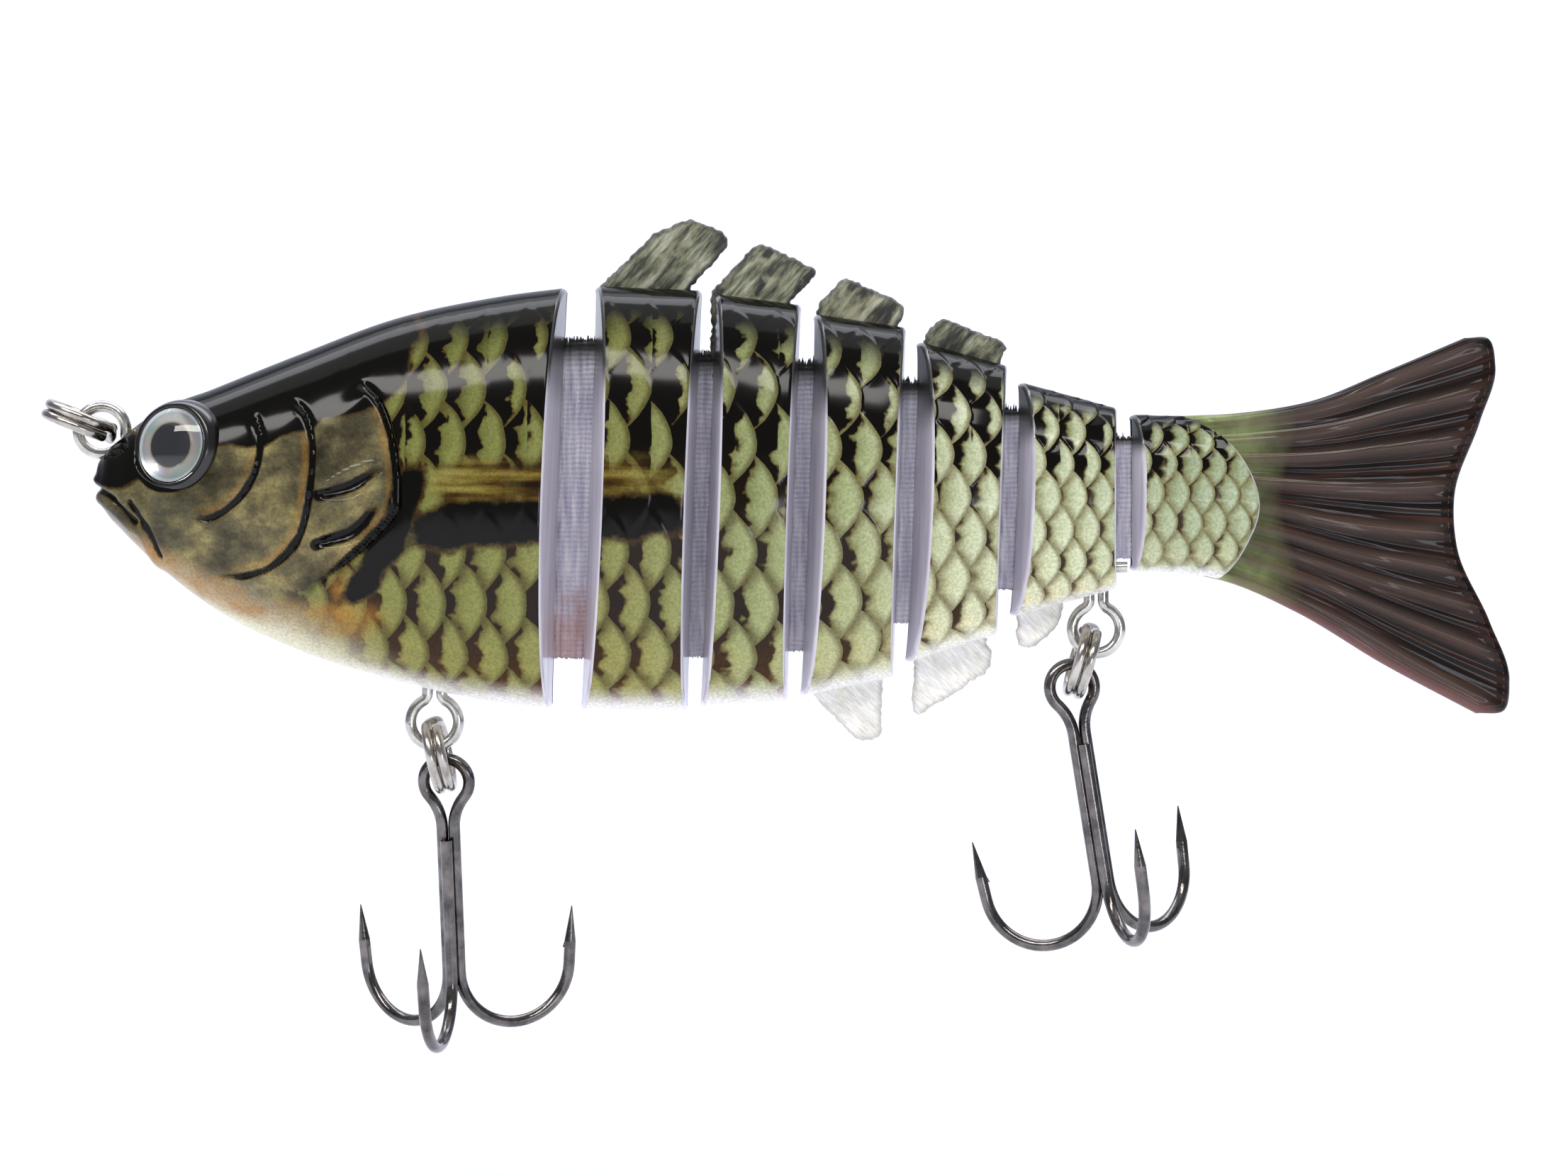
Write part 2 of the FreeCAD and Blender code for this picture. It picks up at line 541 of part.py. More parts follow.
def build_head(line_tie_groove, hanger_groove, sheet, posts):
    """Both head shells, cut for everything they hold."""
    seat_collar = {}
    for side in (LEFT, RIGHT):
        hull = half_loft(HEAD_STATIONS, side)
        rear = end_cutter(HEAD_LENGTH, HEAD_REAR_BEVEL, HEAD_REAR_HALF_WIDTH, side, BODY[0]["lean"], 1)
        hull = hull.cut(rear)
        inner = [s for s in HEAD_STATIONS if s[0] >= 4.0]
        cavity = half_loft(inner, side, WALL)
        cavity = cavity.cut(rotated_back(rear, END_WALL))
        cavity = cavity.cut(Part.makeBox(HEAD_CAVITY_START + 10, 40, 80, V(-10, -20, -50)))
        ribs = []
        rib_y = 0 if side == RIGHT else -20
        for x in (BALLAST_START + BALLAST_RIB, BALLAST_START + BALLAST_LENGTH - 2 * BALLAST_RIB):
            ribs.append(Part.makeBox(BALLAST_RIB, 20, 9.0, V(x, rib_y, BALLAST_Z - 7.0)))
        length, width = HANGER_BLOCK
        bottom = head_bottom(FRONT_HANGER_X)
        corner = V(FRONT_HANGER_X - length, -width, bottom - 1)
        block = Part.makeBox(2 * length, 2 * width, HANGER_LEG + 1, corner)
        body = shell(hull, cavity, posts, side, ribs + [block])
        bore = BALLAST_RADIUS + BALLAST_CLEARANCE
        start = V(BALLAST_START - BALLAST_CLEARANCE, 0, BALLAST_Z)
        body = body.cut(Part.makeCylinder(bore, BALLAST_LENGTH + 2 * BALLAST_CLEARANCE, start, X_AXIS))
        body = add_pegs(body.cut(sheet), posts, side)
        for groove in (line_tie_groove, hanger_groove):
            body = body.cut(groove)
        disc, dome, opening = eye_parts(side)
        seat_collar[side] = (disc, dome)
        export(f"head_{SIDE_NAMES[side]}_shell", body.cut(opening))
    for side, (disc, dome) in seat_collar.items():
        export(f"eye_{SIDE_NAMES[side]}_print", disc)
        export(f"eye_{SIDE_NAMES[side]}_dome", dome)


def rotated_back(cutter, distance):
    """An end cutter moved into its piece by a wall's thickness."""
    moved = cutter.copy()
    moved.translate(V(-distance, 0, 0))
    return moved


def build_segment(piece, front_x, next_gap, posts, sheet, extras=(), grooves=(), pockets=()):
    """Both shells of a body piece."""
    rear_x = front_x + piece["length"]
    (ft, fb, fw), (rt, rb, rw) = piece["front"], piece["rear"]
    overrun = 2.0
    length = piece["length"]

    def at(x, crown=0.0):
        share = (x - front_x) / length
        return (x, ft + (rt - ft) * share, fb + (rb - fb) * share, fw + (rw - fw) * share + crown)

    stations = [at(front_x - overrun), at((front_x + rear_x) / 2, FLANK_CROWN), at(rear_x + overrun)]
    for side in (LEFT, RIGHT):
        front = end_cutter(front_x, piece["front_bevel"], fw, side, piece["lean"], -1)
        rear = end_cutter(rear_x, piece["rear_bevel"], rw, side, next_gap["lean"], 1)
        hull = half_loft(stations, side).cut(front).cut(rear)
        inner_front, inner_rear = front.copy(), rear.copy()
        inner_front.translate(V(END_WALL, 0, 0))
        inner_rear.translate(V(-END_WALL, 0, 0))
        cavity = half_loft(stations, side, WALL).cut(inner_front).cut(inner_rear)
        body = shell(hull, cavity, posts, side, [make(side) for make in extras])
        body = body.cut(sheet)
        for make in pockets:
            body = body.cut(make(side))
        body = add_pegs(body, posts, side)
        for groove in grooves:
            body = body.cut(groove)
        export(f"{piece['name']}_{SIDE_NAMES[side]}_shell", body)


def blade_outline(front_x):
    """The tail blade's outline: three smooth edges joined by round tips."""
    def placed(points):
        return [V(front_x + dx, 0, z) for dx, z in points]

    upper, trailing, lower = placed(BLADE_UPPER), placed(BLADE_TRAILING), placed(BLADE_LOWER)
    curves = []
    for points in (upper, trailing, lower):
        curve = Part.BSplineCurve()
        curve.interpolate(Points=points)
        curves.append(curve)
    edges = [curve.toShape() for curve in curves]
    for first, second in ((0, 1), (1, 2)):
        a, b = curves[first], curves[second]
        start, end = a.value(a.LastParameter), b.value(b.FirstParameter)
        start_way = a.tangent(a.LastParameter)[0]
        end_way = b.tangent(b.FirstParameter)[0]
        tip = Part.BSplineCurve()
        reach = (end - start).Length * 1.1
        tip.interpolate(Points=[start, end], InitialTangent=start_way * reach, FinalTangent=end_way * reach)
        edges.append(tip.toShape())
    tongue = front_x + BLADE_TONGUE_START
    low, high = V(tongue, 0, BLADE_LOWER[-1][1] + WALL), V(tongue, 0, BLADE_UPPER[0][1] - WALL)
    edges.append(Part.makeLine(lower[-1], low))
    edges.append(Part.makeLine(low, high))
    edges.append(Part.makeLine(high, upper[0]))
    return Part.Wire(Part.__sortEdges__(edges))


def build_blade(front_x):
    """The blade: full thickness at its root, thinner towards its trailing edge."""
    flat = plate(blade_outline(front_x), BLADE_THICKNESS)
    start, end = front_x + BLADE_TRAILING[2][0] * 0.5, front_x + 30.0
    taper = (BLADE_THICKNESS - BLADE_EDGE_THICKNESS) / 2
    for side in (LEFT, RIGHT):
        y0, y1 = side * BLADE_THICKNESS / 2, side * (BLADE_THICKNESS / 2 - taper)
        corners = [V(start, y0, -40), V(end, y1, -40), V(end, y0 + side, -40), V(start, y0 + side, -40)]
        wedge = Part.Face(Part.makePolygon(corners + corners[:1])).extrude(V(0, 0, 60))
        flat = flat.cut(wedge)
    x, z = BLADE_PEG
    return flat.cut(Part.makeCylinder(PEG_RADIUS + PEG_CLEARANCE, 4, V(front_x + x, -2, z), Y_AXIS))


def tail_dome(front_x):
    """The side outline of the tail root, which ends in one rounded sweep, as a thick plate."""
    start, reach = front_x + TAIL_DOME_START, front_x + TAIL_DOME_REACH
    top, bottom = 6.0, -18.0
    root_top, root_bottom = TAIL_ROOT[0][1], TAIL_ROOT[1][2]
    sweep = Part.BSplineCurve()
    sweep.interpolate(
        Points=[V(start, 0, root_top), V(start + 3.6, 0, root_top - 1.9), V(reach, 0, TAIL_DOME_MID_Z),
                V(start + 4.6, 0, root_bottom + 1.5), V(start + 3.0, 0, root_bottom - 0.6)]
    )
    front = front_x - 5.0
    end = V(start + 3.0, 0, root_bottom - 0.6)
    corners = [end, V(end.x, 0, bottom), V(front, 0, bottom), V(front, 0, top), V(start, 0, top)]
    corners.append(V(start, 0, root_top))
    lines = [Part.makeLine(a, b) for a, b in zip(corners, corners[1:])]
    return plate(Part.Wire(Part.__sortEdges__([sweep.toShape(), *lines])), 30.0)


def build_tail(front_x, sheet, blade, posts):
    """Both shells of the tail root and the blade between them."""
    stations = [(front_x - 2.0, *TAIL_ROOT[0][1:])] + [(front_x + s[0], *s[1:]) for s in TAIL_ROOT]
    dome = tail_dome(front_x)
    for side in (LEFT, RIGHT):
        front = end_cutter(front_x, TAIL_FRONT_BEVEL, TAIL_ROOT[0][3], side, TAIL_LEAN, -1)
        body = half_loft(stations, side).cut(front).common(dome)
        body = body.cut(sheet).cut(blade)
        export(f"tail_{SIDE_NAMES[side]}_shell", add_pegs(body, posts, side))
    export("tail_blade", blade)


def segment_posts(piece, front_x, skip_low=False):
    """Where a body piece's two pegs stand, (x, z)."""
    x = front_x + piece["length"] / 2
    top = (piece["front"][0] + piece["rear"][0]) / 2 - PEG_INSET
    bottom = (piece["front"][1] + piece["rear"][1]) / 2 + PEG_INSET
    return [(x, top)] if skip_low else [(x, top), (x, bottom)]


def main():
    os.makedirs("parts", exist_ok=True)
    gaps = BODY + [{"gap": TAIL_GAP, "sheet": TAIL_SHEET, "lean": TAIL_LEAN}]
    fronts, axes = [], []
    x = HEAD_LENGTH
    for i, gap in enumerate(gaps):
        axes.append(x + gap["gap"] / 2)
        fronts.append(x + gap["gap"])
        x = fronts[-1] + gap.get("length", 0.0)
    print("hinge axes x:", [round(a, 3) for a in axes], " tail front:", fronts[-1])
    edge_gap = SHEET_THICKNESS / 2 + SHEET_TIP_CLEARANCE

    def edge(i, way):
        top, bottom = gaps[i]["sheet"]
        return (axes[i] + way * edge_gap, top, bottom, gaps[i]["lean"])

    # Line tie, hook hangers and their grooves
    legs_down = LINE_TIE_LEG_DOWN
    wire, groove = HANGER_WIRE / 2, HANGER_WIRE / 2 + HANGER_CLEARANCE
    front_eye = V(FRONT_HANGER_X, 0, head_bottom(FRONT_HANGER_X) - FRONT_HANGER_DROP)
    last = BODY[-1]
    share = REAR_HANGER_X / last["length"]
    belly = last["front"][1] + (last["rear"][1] - last["front"][1]) * share
    rear_eye = V(fronts[4] + REAR_HANGER_X, 0, belly - REAR_HANGER_DROP)
    print("front eye", tuple(front_eye), "rear eye", tuple(rear_eye))
    hangers = {"line_tie": (V(), legs_down), "front_hook_hanger": (front_eye, -90.0),
               "rear_hook_hanger": (rear_eye, -90.0)}
    for name, (centre, down) in hangers.items():
        export(name, place_hanger(hanger(wire), centre, down))
    grooves = {}
    for name, (centre, down) in hangers.items():
        grooves[name] = place_hanger(hanger(groove, HANGER_CLEARANCE), centre, down)

    # Head
    top, bottom = BODY[0]["sheet"]
    post_x = HEAD_LENGTH - 4.5
    head_posts = [(post_x, top - 2.0), (post_x, bottom + 2.5), (HEAD_CAVITY_START + 3.5, -2.5)]
    sheet_end = (HEAD_LENGTH - SHEET_HEAD_REACH, top, bottom, None)
    head_sheet = sheet_panel(sheet_end, edge(0, -1), [], head_posts[:2])
    build_head(grooves["line_tie"], grooves["front_hook_hanger"], head_sheet, head_posts)
    export("sheet_head", head_sheet)
    ballast_end = V(BALLAST_START, 0, BALLAST_Z)
    export("head_ballast", Part.makeCylinder(BALLAST_RADIUS, BALLAST_LENGTH, ballast_end, X_AXIS))

    # Body pieces
    for i, piece in enumerate(BODY):
        front_x = fronts[i]
        name = piece["name"]
        lobes = []
        if name in DORSAL_FINS:
            lobes.append(fin_lobe(DORSAL_FINS[name], front_x, piece["front"][0], 1))
        if name in ANAL_FINS:
            lobes.append(fin_lobe(ANAL_FINS[name], front_x, piece["front"][1], -1))
        has_hanger = piece is last
        posts = segment_posts(piece, front_x, skip_low=has_hanger)
        sheet = sheet_panel(edge(i, 1), edge(i + 1, -1), lobes, posts)
        extras, cuts, pockets = [], [], []
        if has_hanger:
            sheet = sheet.cut(Part.makeBox(8, 4, 12, V(rear_eye.x - 2.9, -2, belly - 4.0)))
            length, width = HANGER_BLOCK
            box = (2 * length, 2 * width, HANGER_LEG + 1)
            extras = [lambda side: Part.makeBox(*box, V(rear_eye.x - length, -width, belly - 1))]
            cuts = [grooves["rear_hook_hanger"]]
        if i == 0:
            shot_x, shot_z = front_x + piece["length"] / 2, piece["front"][1] + SHOT_INSET
            shot_y = SHEET_THICKNESS / 2 + BALLAST_CLEARANCE + SHOT_RADIUS
            extras = [lambda side: peg_post(shot_x, shot_z, side, SHOT_RADIUS + WALL / 2, 0.0)]
            pocket = SHOT_RADIUS + BALLAST_CLEARANCE
            depth = shot_y + pocket
            pockets = [lambda side: Part.makeCylinder(pocket, depth, V(shot_x, 0, shot_z), V(0, side, 0))]
            balls = [Part.makeSphere(SHOT_RADIUS, V(shot_x, side * shot_y, shot_z)) for side in (LEFT, RIGHT)]
            export("segment_1_shot", *balls)
        build_segment(piece, front_x, gaps[i + 1], posts, sheet, extras, cuts, pockets)
        export("sheet_" + name, sheet)

    # Tail
    tail_x = fronts[-1]
    blade = build_blade(tail_x)
    sheet_post = (tail_x + SHEET_TAIL_REACH / 2, (TAIL_SHEET[0] + TAIL_SHEET[1]) / 2)
    blade_post = (tail_x + BLADE_PEG[0], BLADE_PEG[1])
    top, bottom = TAIL_SHEET
    tail_sheet = sheet_panel(edge(5, 1), (tail_x + SHEET_TAIL_REACH, top, bottom, None), [], [sheet_post])
    build_tail(tail_x, tail_sheet, blade, [sheet_post, blade_post])
    export("sheet_tail", tail_sheet)

    # Rings and hooks
    hook = treble()
    front_pose = (FRONT_RING_REACH, FRONT_RING_PLACE, FRONT_RING_TILT, FRONT_HOOK_TILT, FRONT_HOOK_SPIN)
    rear_pose = (REAR_RING_REACH, REAR_RING_PLACE, REAR_RING_TILT, REAR_HOOK_TILT, REAR_HOOK_SPIN)
    poses = (("front", front_eye, front_pose, FRONT_SWING), ("rear", rear_eye, rear_pose, REAR_SWING))
    for name, eye, pose, swing in poses:
        ring, double, third = ring_and_hook(eye, *pose, swing, hook)
        export(f"{name}_split_ring", ring)
        export(f"{name}_treble_double_wire", double)
        export(f"{name}_treble_third_wire", third)
    line_ring = rotated(split_ring(), V(), Y_AXIS, 90.0 + LINE_RING_TILT)
    away = V(-math.cos(math.radians(LINE_RING_TILT)), 0, math.sin(math.radians(LINE_RING_TILT)))
    line_ring.translate(away * LINE_RING_REACH)
    export("line_split_ring", line_ring)


main()
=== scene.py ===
"""Looks for the seven-piece jointed swimbait.

The wire parts, eye domes and hidden ballast keep their CAD shapes. The printed shells, tail blade and woven
sheet are rebuilt here with their scales, gill lines, fin rays and cords as real relief.
Lengths in this script are millimetres until a mesh is made.
"""

import math

import bpy
import numpy as np
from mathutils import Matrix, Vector
from mathutils.geometry import delaunay_2d_cdt


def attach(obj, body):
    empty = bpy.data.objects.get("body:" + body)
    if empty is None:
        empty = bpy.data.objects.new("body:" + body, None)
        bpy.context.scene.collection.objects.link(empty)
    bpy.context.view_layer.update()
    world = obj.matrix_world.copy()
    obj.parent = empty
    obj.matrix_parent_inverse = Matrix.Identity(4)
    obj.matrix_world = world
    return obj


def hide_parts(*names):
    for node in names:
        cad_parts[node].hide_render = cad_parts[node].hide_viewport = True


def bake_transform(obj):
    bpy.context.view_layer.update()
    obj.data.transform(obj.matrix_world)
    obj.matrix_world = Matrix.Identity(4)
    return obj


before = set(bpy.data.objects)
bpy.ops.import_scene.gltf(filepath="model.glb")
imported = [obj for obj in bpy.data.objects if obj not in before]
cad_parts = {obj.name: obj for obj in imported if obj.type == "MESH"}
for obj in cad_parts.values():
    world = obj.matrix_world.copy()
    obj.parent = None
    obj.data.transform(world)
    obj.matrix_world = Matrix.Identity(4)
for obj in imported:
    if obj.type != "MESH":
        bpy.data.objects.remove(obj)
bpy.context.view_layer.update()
MM = 0.001
SIDES = {"left": -1, "right": 1}
rng = np.random.default_rng(7)

# ---- the body's sections ----------------------------------------------------
# Stations: x, top, bottom, half width.
HEAD = [
    (-0.42, -3.3, -4.0, 0.15), (-0.30, -2.75, -4.5, 0.8), (0.3, -1.7, -5.7, 2.1), (1.6, -0.5, -7.2, 3.4),
    (4.0, 1.3, -9.5, 4.7), (8.0, 2.9, -12.6, 5.9), (14.0, 5.3, -15.6, 6.9), (21.0, 7.9, -17.8, 7.4),
    (28.0, 9.4, -19.3, 7.6), (36.0, 10.4, -20.0, 7.6),
]
SEGMENTS = {
    "segment_1": [(34.5, 10.2, -19.8, 7.5), (42.1, 9.9, -19.9, 7.4)],
    "segment_2": [(43.0, 9.7, -19.6, 7.2), (49.2, 8.9, -19.2, 6.9)],
    "segment_3": [(50.1, 8.3, -18.8, 6.7), (56.7, 7.3, -17.4, 6.2)],
    "segment_4": [(57.5, 6.4, -16.4, 5.9), (64.0, 4.6, -14.3, 5.2)],
    "segment_5": [(64.8, 3.5, -13.2, 4.8), (72.1, 1.5, -11.2, 4.0)],
}
TAIL = [(72.9, 1.1, -10.0, 3.6), (76.9, 1.05, -10.2, 3.1), (80.9, 1.5, -11.0, 2.4), (83.9, 2.2, -12.4, 1.7)]
# Front bevel, rear bevel, front lean and rear lean in degrees.
ENDS = {
    "head": (0.0, 0.7, 0.0, 2.0), "segment_1": (1.2, 0.4, 2.0, 2.0), "segment_2": (0.8, 0.4, 2.0, 2.0),
    "segment_3": (1.0, 0.4, 2.0, 2.0), "segment_4": (1.1, 0.4, 2.0, 2.0), "segment_5": (0.9, 0.4, 2.0, 0.0),
    "tail": (0.7, 0.0, 0.0, 0.0),
}
HEAD_REAR = 32.5
MID_Z = -4.5
SLOT = 0.3                  # half the width of the slot that the sheet comes out of
TAIL_SLOT = 0.55            # the same at the tail root
EDGE_ROUND = 0.35
GAP_AXES = [33.5, 42.55, 49.65, 57.1, 64.4, 72.5]
GAP_HEIGHTS = [(6.6, -16.1), (5.6, -16.0), (5.0, -15.6), (3.6, -13.6), (1.6, -11.2), (-0.4, -9.0)]
CHAIN = ["head", "segment_1", "segment_2", "segment_3", "segment_4", "segment_5", "tail"]


def smooth(x, low, high):
    """0 before low, 1 after high, with an easy slope between. low may be above high."""
    t = np.clip((x - low) / (high - low), 0, 1)
    return t * t * (3 - 2 * t)


def through(table, x, column):
    """A smooth curve through a column of stations, read at x."""
    t = np.array(table, float)
    xs, ys = t[:, 0], t[:, column]
    if len(xs) == 2:
        return ys[0] + (ys[1] - ys[0]) * (x - xs[0]) / (xs[1] - xs[0])
    slopes = np.gradient(ys, xs)
    i = np.clip(np.searchsorted(xs, x) - 1, 0, len(xs) - 2)
    h = xs[i + 1] - xs[i]
    s = np.clip((x - xs[i]) / h, -0.5, 1.5)
    a, b = ys[i], ys[i + 1]
    p, q = slopes[i] * h, slopes[i + 1] * h
    return a + s * p + s**2 * (3 * (b - a) - 2 * p - q) + s**3 * (2 * (a - b) + p + q)


def skin(table, x, a, crown=0.0):
    """(y, z) of the outside at x, for angle a from the back round to the belly."""
    top, bottom, wide = (through(table, x, c) for c in (1, 2, 3))
    y = (wide + crown) * np.maximum(np.sin(a), 0) ** 0.8
    return y, (top + bottom) / 2 + (top - bottom) / 2 * np.cos(a)


# ---- scales -----------------------------------------------------------------
# Half the pitch of the scales along the body, and the pitch of every second row round it, by x.
PITCH_X = [(0, 1.35), (30, 1.4), (50, 1.5), (58, 1.25), (68, 0.95), (90, 0.8)]
PITCH_ROUND = [(0, 7.0), (30, 7.6), (50, 7.6), (58, 6.3), (68, 4.7), (90, 3.4)]
SCALE_BULGE = 1.9
SCALE_RELIEF = [(0, 0.0), (24, 0.01), (34, 0.03), (50, 0.05), (58, 0.10), (66, 0.17), (80, 0.20)]


def by_x(pairs, x):
    return np.interp(x, [p[0] for p in pairs], [p[1] for p in pairs])


def lattice(x, round_about):
    """Scale coordinates: columns along the body, and rows round it."""
    fine = np.linspace(-5, 110, 1200)
    along = np.concatenate([[0], np.cumsum(np.diff(fine) / by_x(PITCH_X, (fine[1:] + fine[:-1]) / 2))])
    return np.interp(x, fine, along), round_about / by_x(PITCH_ROUND, x)


def scale_cells(u, v):
    """For each point: how far it is behind the scale in front, and how far before its own scale's edge."""
    column = np.floor(u)
    t = u - column
    even = (v + 0.5 * (column % 2)) % 1 - 0.5
    odd = (v + 0.5 * (column % 2) + 0.5) % 1 - 0.5
    q0, q1 = SCALE_BULGE * (2 * even) ** 2, SCALE_BULGE * (2 * odd) ** 2
    r0, r1, r2 = 1 - q0 - t, 2 - q1 - t, 3 - q0 - t
    front = np.minimum(q1 + t, 1 + q0 + t)
    past_first = np.minimum(front, -r0)
    behind = np.where(r0 > 0, front, np.where(r1 > 0, past_first, np.minimum(past_first, -r1)))
    own = np.where(r0 > 0, r0, np.where(r1 > 0, r1, r2))
    return behind, own


# ---- the face's lines -------------------------------------------------------
CHEEK_ARC = [(11.5, 1.2), (12.1, -0.9), (11.7, -3.4), (10.1, -5.5), (8.3, -6.4), (6.9, -6.0)]
GILL_ARC = [(14.0, 2.2), (15.2, 0.9), (15.8, -1.4), (15.65, -4.4), (14.7, -8.0), (12.9, -9.7), (10.4, -10.4),
            (7.8, -10.1)]
GILL_COVER = [(18.9, 3.3), (20.5, 1.4), (21.3, -0.9), (21.7, -4.4), (21.7, -5.5), (20.0, -7.6),
              (15.4, -11.3)]
UNDER_COVER = [(15.4, -11.3), (13.0, -12.4), (10.5, -12.2)]
SLITS = [[(16.3, -4.8), (18.4, -4.2), (20.7, -2.8)], [(16.1, -8.2), (18.9, -7.1), (20.7, -4.8)]]
FOREHEAD = [(0, 0.6), (6, 0.2), (8, -1.2), (12.5, -1.3), (13.5, -0.6), (15.6, -0.2), (16.5, 0.7), (20, 1.3),
            (24, 4.5)]
JAW = [(1.5, -7.5), (4.5, -9.3), (7.5, -10.9), (11, -12.2), (15, -13.3), (19, -13.6), (23, -12.6)]
MOUTH = [[(-0.4, -4.1), (1.3, -5.0), (3.0, -6.6)], [(2.6, -5.2), (3.6, -6.6), (4.6, -9.0)]]


def curve_points(points, n=60):
    """A smooth line through points."""
    p = np.array(points, float)
    d = np.concatenate([[0], np.cumsum(np.linalg.norm(np.diff(p, axis=0), axis=1))])
    s = np.linspace(0, d[-1], n)
    return np.stack([through(np.stack([d, p[:, c]], 1), s, 1) for c in (0, 1)], 1)


def beside(line, x, z):
    """Distance to a line in side view, the side of it (negative inside a plate), and the place along it."""
    p = curve_points(line)
    best, side, place = np.full(x.shape, 1e9), np.zeros(x.shape), np.zeros(x.shape)
    for i, (a, b) in enumerate(zip(p, p[1:])):
        ab = b - a
        t = np.clip(((x - a[0]) * ab[0] + (z - a[1]) * ab[1]) / (ab @ ab), 0, 1)
        dx, dz = x - a[0] - t * ab[0], z - a[1] - t * ab[1]
        d = np.hypot(dx, dz)
        nearer = d < best
        best = np.where(nearer, d, best)
        side = np.where(nearer, np.sign(ab[0] * dz - ab[1] * dx), side)
        place = np.where(nearer, (i + t) / (len(p) - 1), place)
    return best, side, place


def face_relief(x, z):
    """Raised plates and cut lines of the face, in millimetres outwards."""
    out = np.zeros(x.shape)
    d, side, place = beside(GILL_COVER, x, z)
    fade = smooth(place, 0.0, 0.08)
    out += fade * np.where(side < 0, 0.42 * np.exp(-(d / 1.6)), -0.10 * np.exp(-(d / 0.8)))
    out -= 0.28 * fade * np.exp(-((d - 0.05) / 0.16) ** 2)
    d, side, place = beside(GILL_ARC, x, z)
    fade = smooth(place, 0.0, 0.1) * smooth(place, 1.0, 0.9)
    out += fade * (np.where(side < 0, 0.26, 0.06) * np.exp(-(d / 0.7)) - 0.30 * np.exp(-(d / 0.2) ** 2))
    d, side, place = beside(CHEEK_ARC, x, z)
    fade = smooth(place, 0.0, 0.12) * smooth(place, 1.0, 0.85)
    out += fade * (np.where(side < 0, 0.24, 0.02) * np.exp(-(d / 0.55)) - 0.26 * np.exp(-(d / 0.2) ** 2))
    for line in SLITS:
        d, _, place = beside(line, x, z)
        wide = 0.16 + 0.34 * np.sin(np.pi * place)
        out -= 0.34 * smooth(place, 0, 0.05) * smooth(place, 1, 0.95) * np.exp(-(d / wide) ** 2)
        out += 0.16 * np.exp(-((d - wide * 1.9) / 0.2) ** 2) * smooth(place, 0, 0.1) * smooth(place, 1, 0.9)
    d, side, place = beside(UNDER_COVER, x, z)
    out += 0.10 * np.where(side < 0, 1, -0.4) * np.exp(-(d / 0.8)) * smooth(place, 1, 0.8)
    for line in MOUTH:
        d, _, _ = beside(line, x, z)
        out -= 0.38 * np.exp(-(d / 0.22) ** 2)
        out += 0.18 * np.exp(-((d - 0.6) / 0.3) ** 2)
    return out


def face_print(x, z):
    """Zones in side view, from 0 to 1: the printed cheeks, black ink, ochre, and the flank's brown band.
    The ochre zone also holds a painted highlight along the raised edges of the gill plates.
    """
    d, side, _ = beside(GILL_COVER, x, z)
    lower = z < -11.3
    face = np.where(side < 0, smooth(d, -0.25, 0.25), 1 - smooth(d, -0.25, 0.25))
    face = np.where((z > 3.3) | lower, smooth(x, 18.5, 15.5), face)
    face = np.where(lower, smooth(x + 0.9 * (z + 11.3), 18.0, 10.0), face)
    ink = np.zeros(x.shape)
    # The forehead is black down to the cheek.
    forehead = by_x(FOREHEAD, x)
    ink = np.maximum(ink, smooth(z, forehead - 0.7, forehead + 0.5) * smooth(x, 24.5, 20.5))
    # A black bar behind the gill cover slants down to the belly.
    bar = x - (22.9 + 0.52 * (z + 4.5) - 0.035 * (z + 8.0) ** 2)
    ink = np.maximum(ink, smooth(np.abs(bar), 2.0, 0.1) * smooth(z, -13.8, -10.9) * smooth(z, -1.6, -4.6))
    # A black blotch on the flank, with a brown band above it.
    blotch = smooth(np.abs(z + 6.7 - 0.05 * (x - 30)), 2.5, 0.3)
    ink = np.maximum(ink, blotch * smooth(x, 20.0, 25.5) * smooth(x, 44.5, 38.5))
    for line in (GILL_COVER, GILL_ARC, CHEEK_ARC):
        dd, _, pl = beside(line, x, z)
        ink = np.maximum(ink, 0.85 * smooth(dd, 0.42, 0.1) * smooth(pl, 1.0, 0.8))
    for line in SLITS:
        dd, _, pl = beside(line, x, z)
        ink = np.maximum(ink, smooth(dd, 0.62, 0.12) * (0.4 + 0.6 * smooth(pl, 0.95, 0.6)))
    for line in MOUTH:
        dd, _, _ = beside(line, x, z)
        ink = np.maximum(ink, 0.8 * smooth(dd, 0.35, 0.08))
    snout = smooth(np.hypot(x - 1.5, (z + 2.2) * 1.1), 3.2, 1.4)
    ink = np.maximum(ink, 0.9 * snout)
    band = smooth(np.abs(z + 4.0), 2.9, 0.2) * smooth(x, 20.5, 27.0) * smooth(x, 45.0, 37.0)
    jaw = by_x(JAW, x)
    ochre_and_painted_highlight = smooth(np.abs(z - jaw), 1.7, 0.4) * smooth(x, 1.0, 3.5) * smooth(x, 22.0, 18.0)
    ochre_and_painted_highlight = np.maximum(ochre_and_painted_highlight, 0.9 * smooth(np.hypot((x - 18.2) / 1.7, (z + 11.2) / 2.2), 1.0, 0.4))
    # Painted highlight: a thin ochre line on the raised side of each gill and cheek line, where light catches
    # the plate's edge.
    for line in (GILL_COVER, GILL_ARC, CHEEK_ARC):
        dd, beyond, pl = beside(line, x, z)
        inside = 0.4 * smooth(np.abs(dd - 0.5), 0.35, 0.1) * (beyond < 0)
        ochre_and_painted_highlight = np.maximum(ochre_and_painted_highlight, inside * smooth(pl, 1.0, 0.8))
    return face, ink, ochre_and_painted_highlight, band


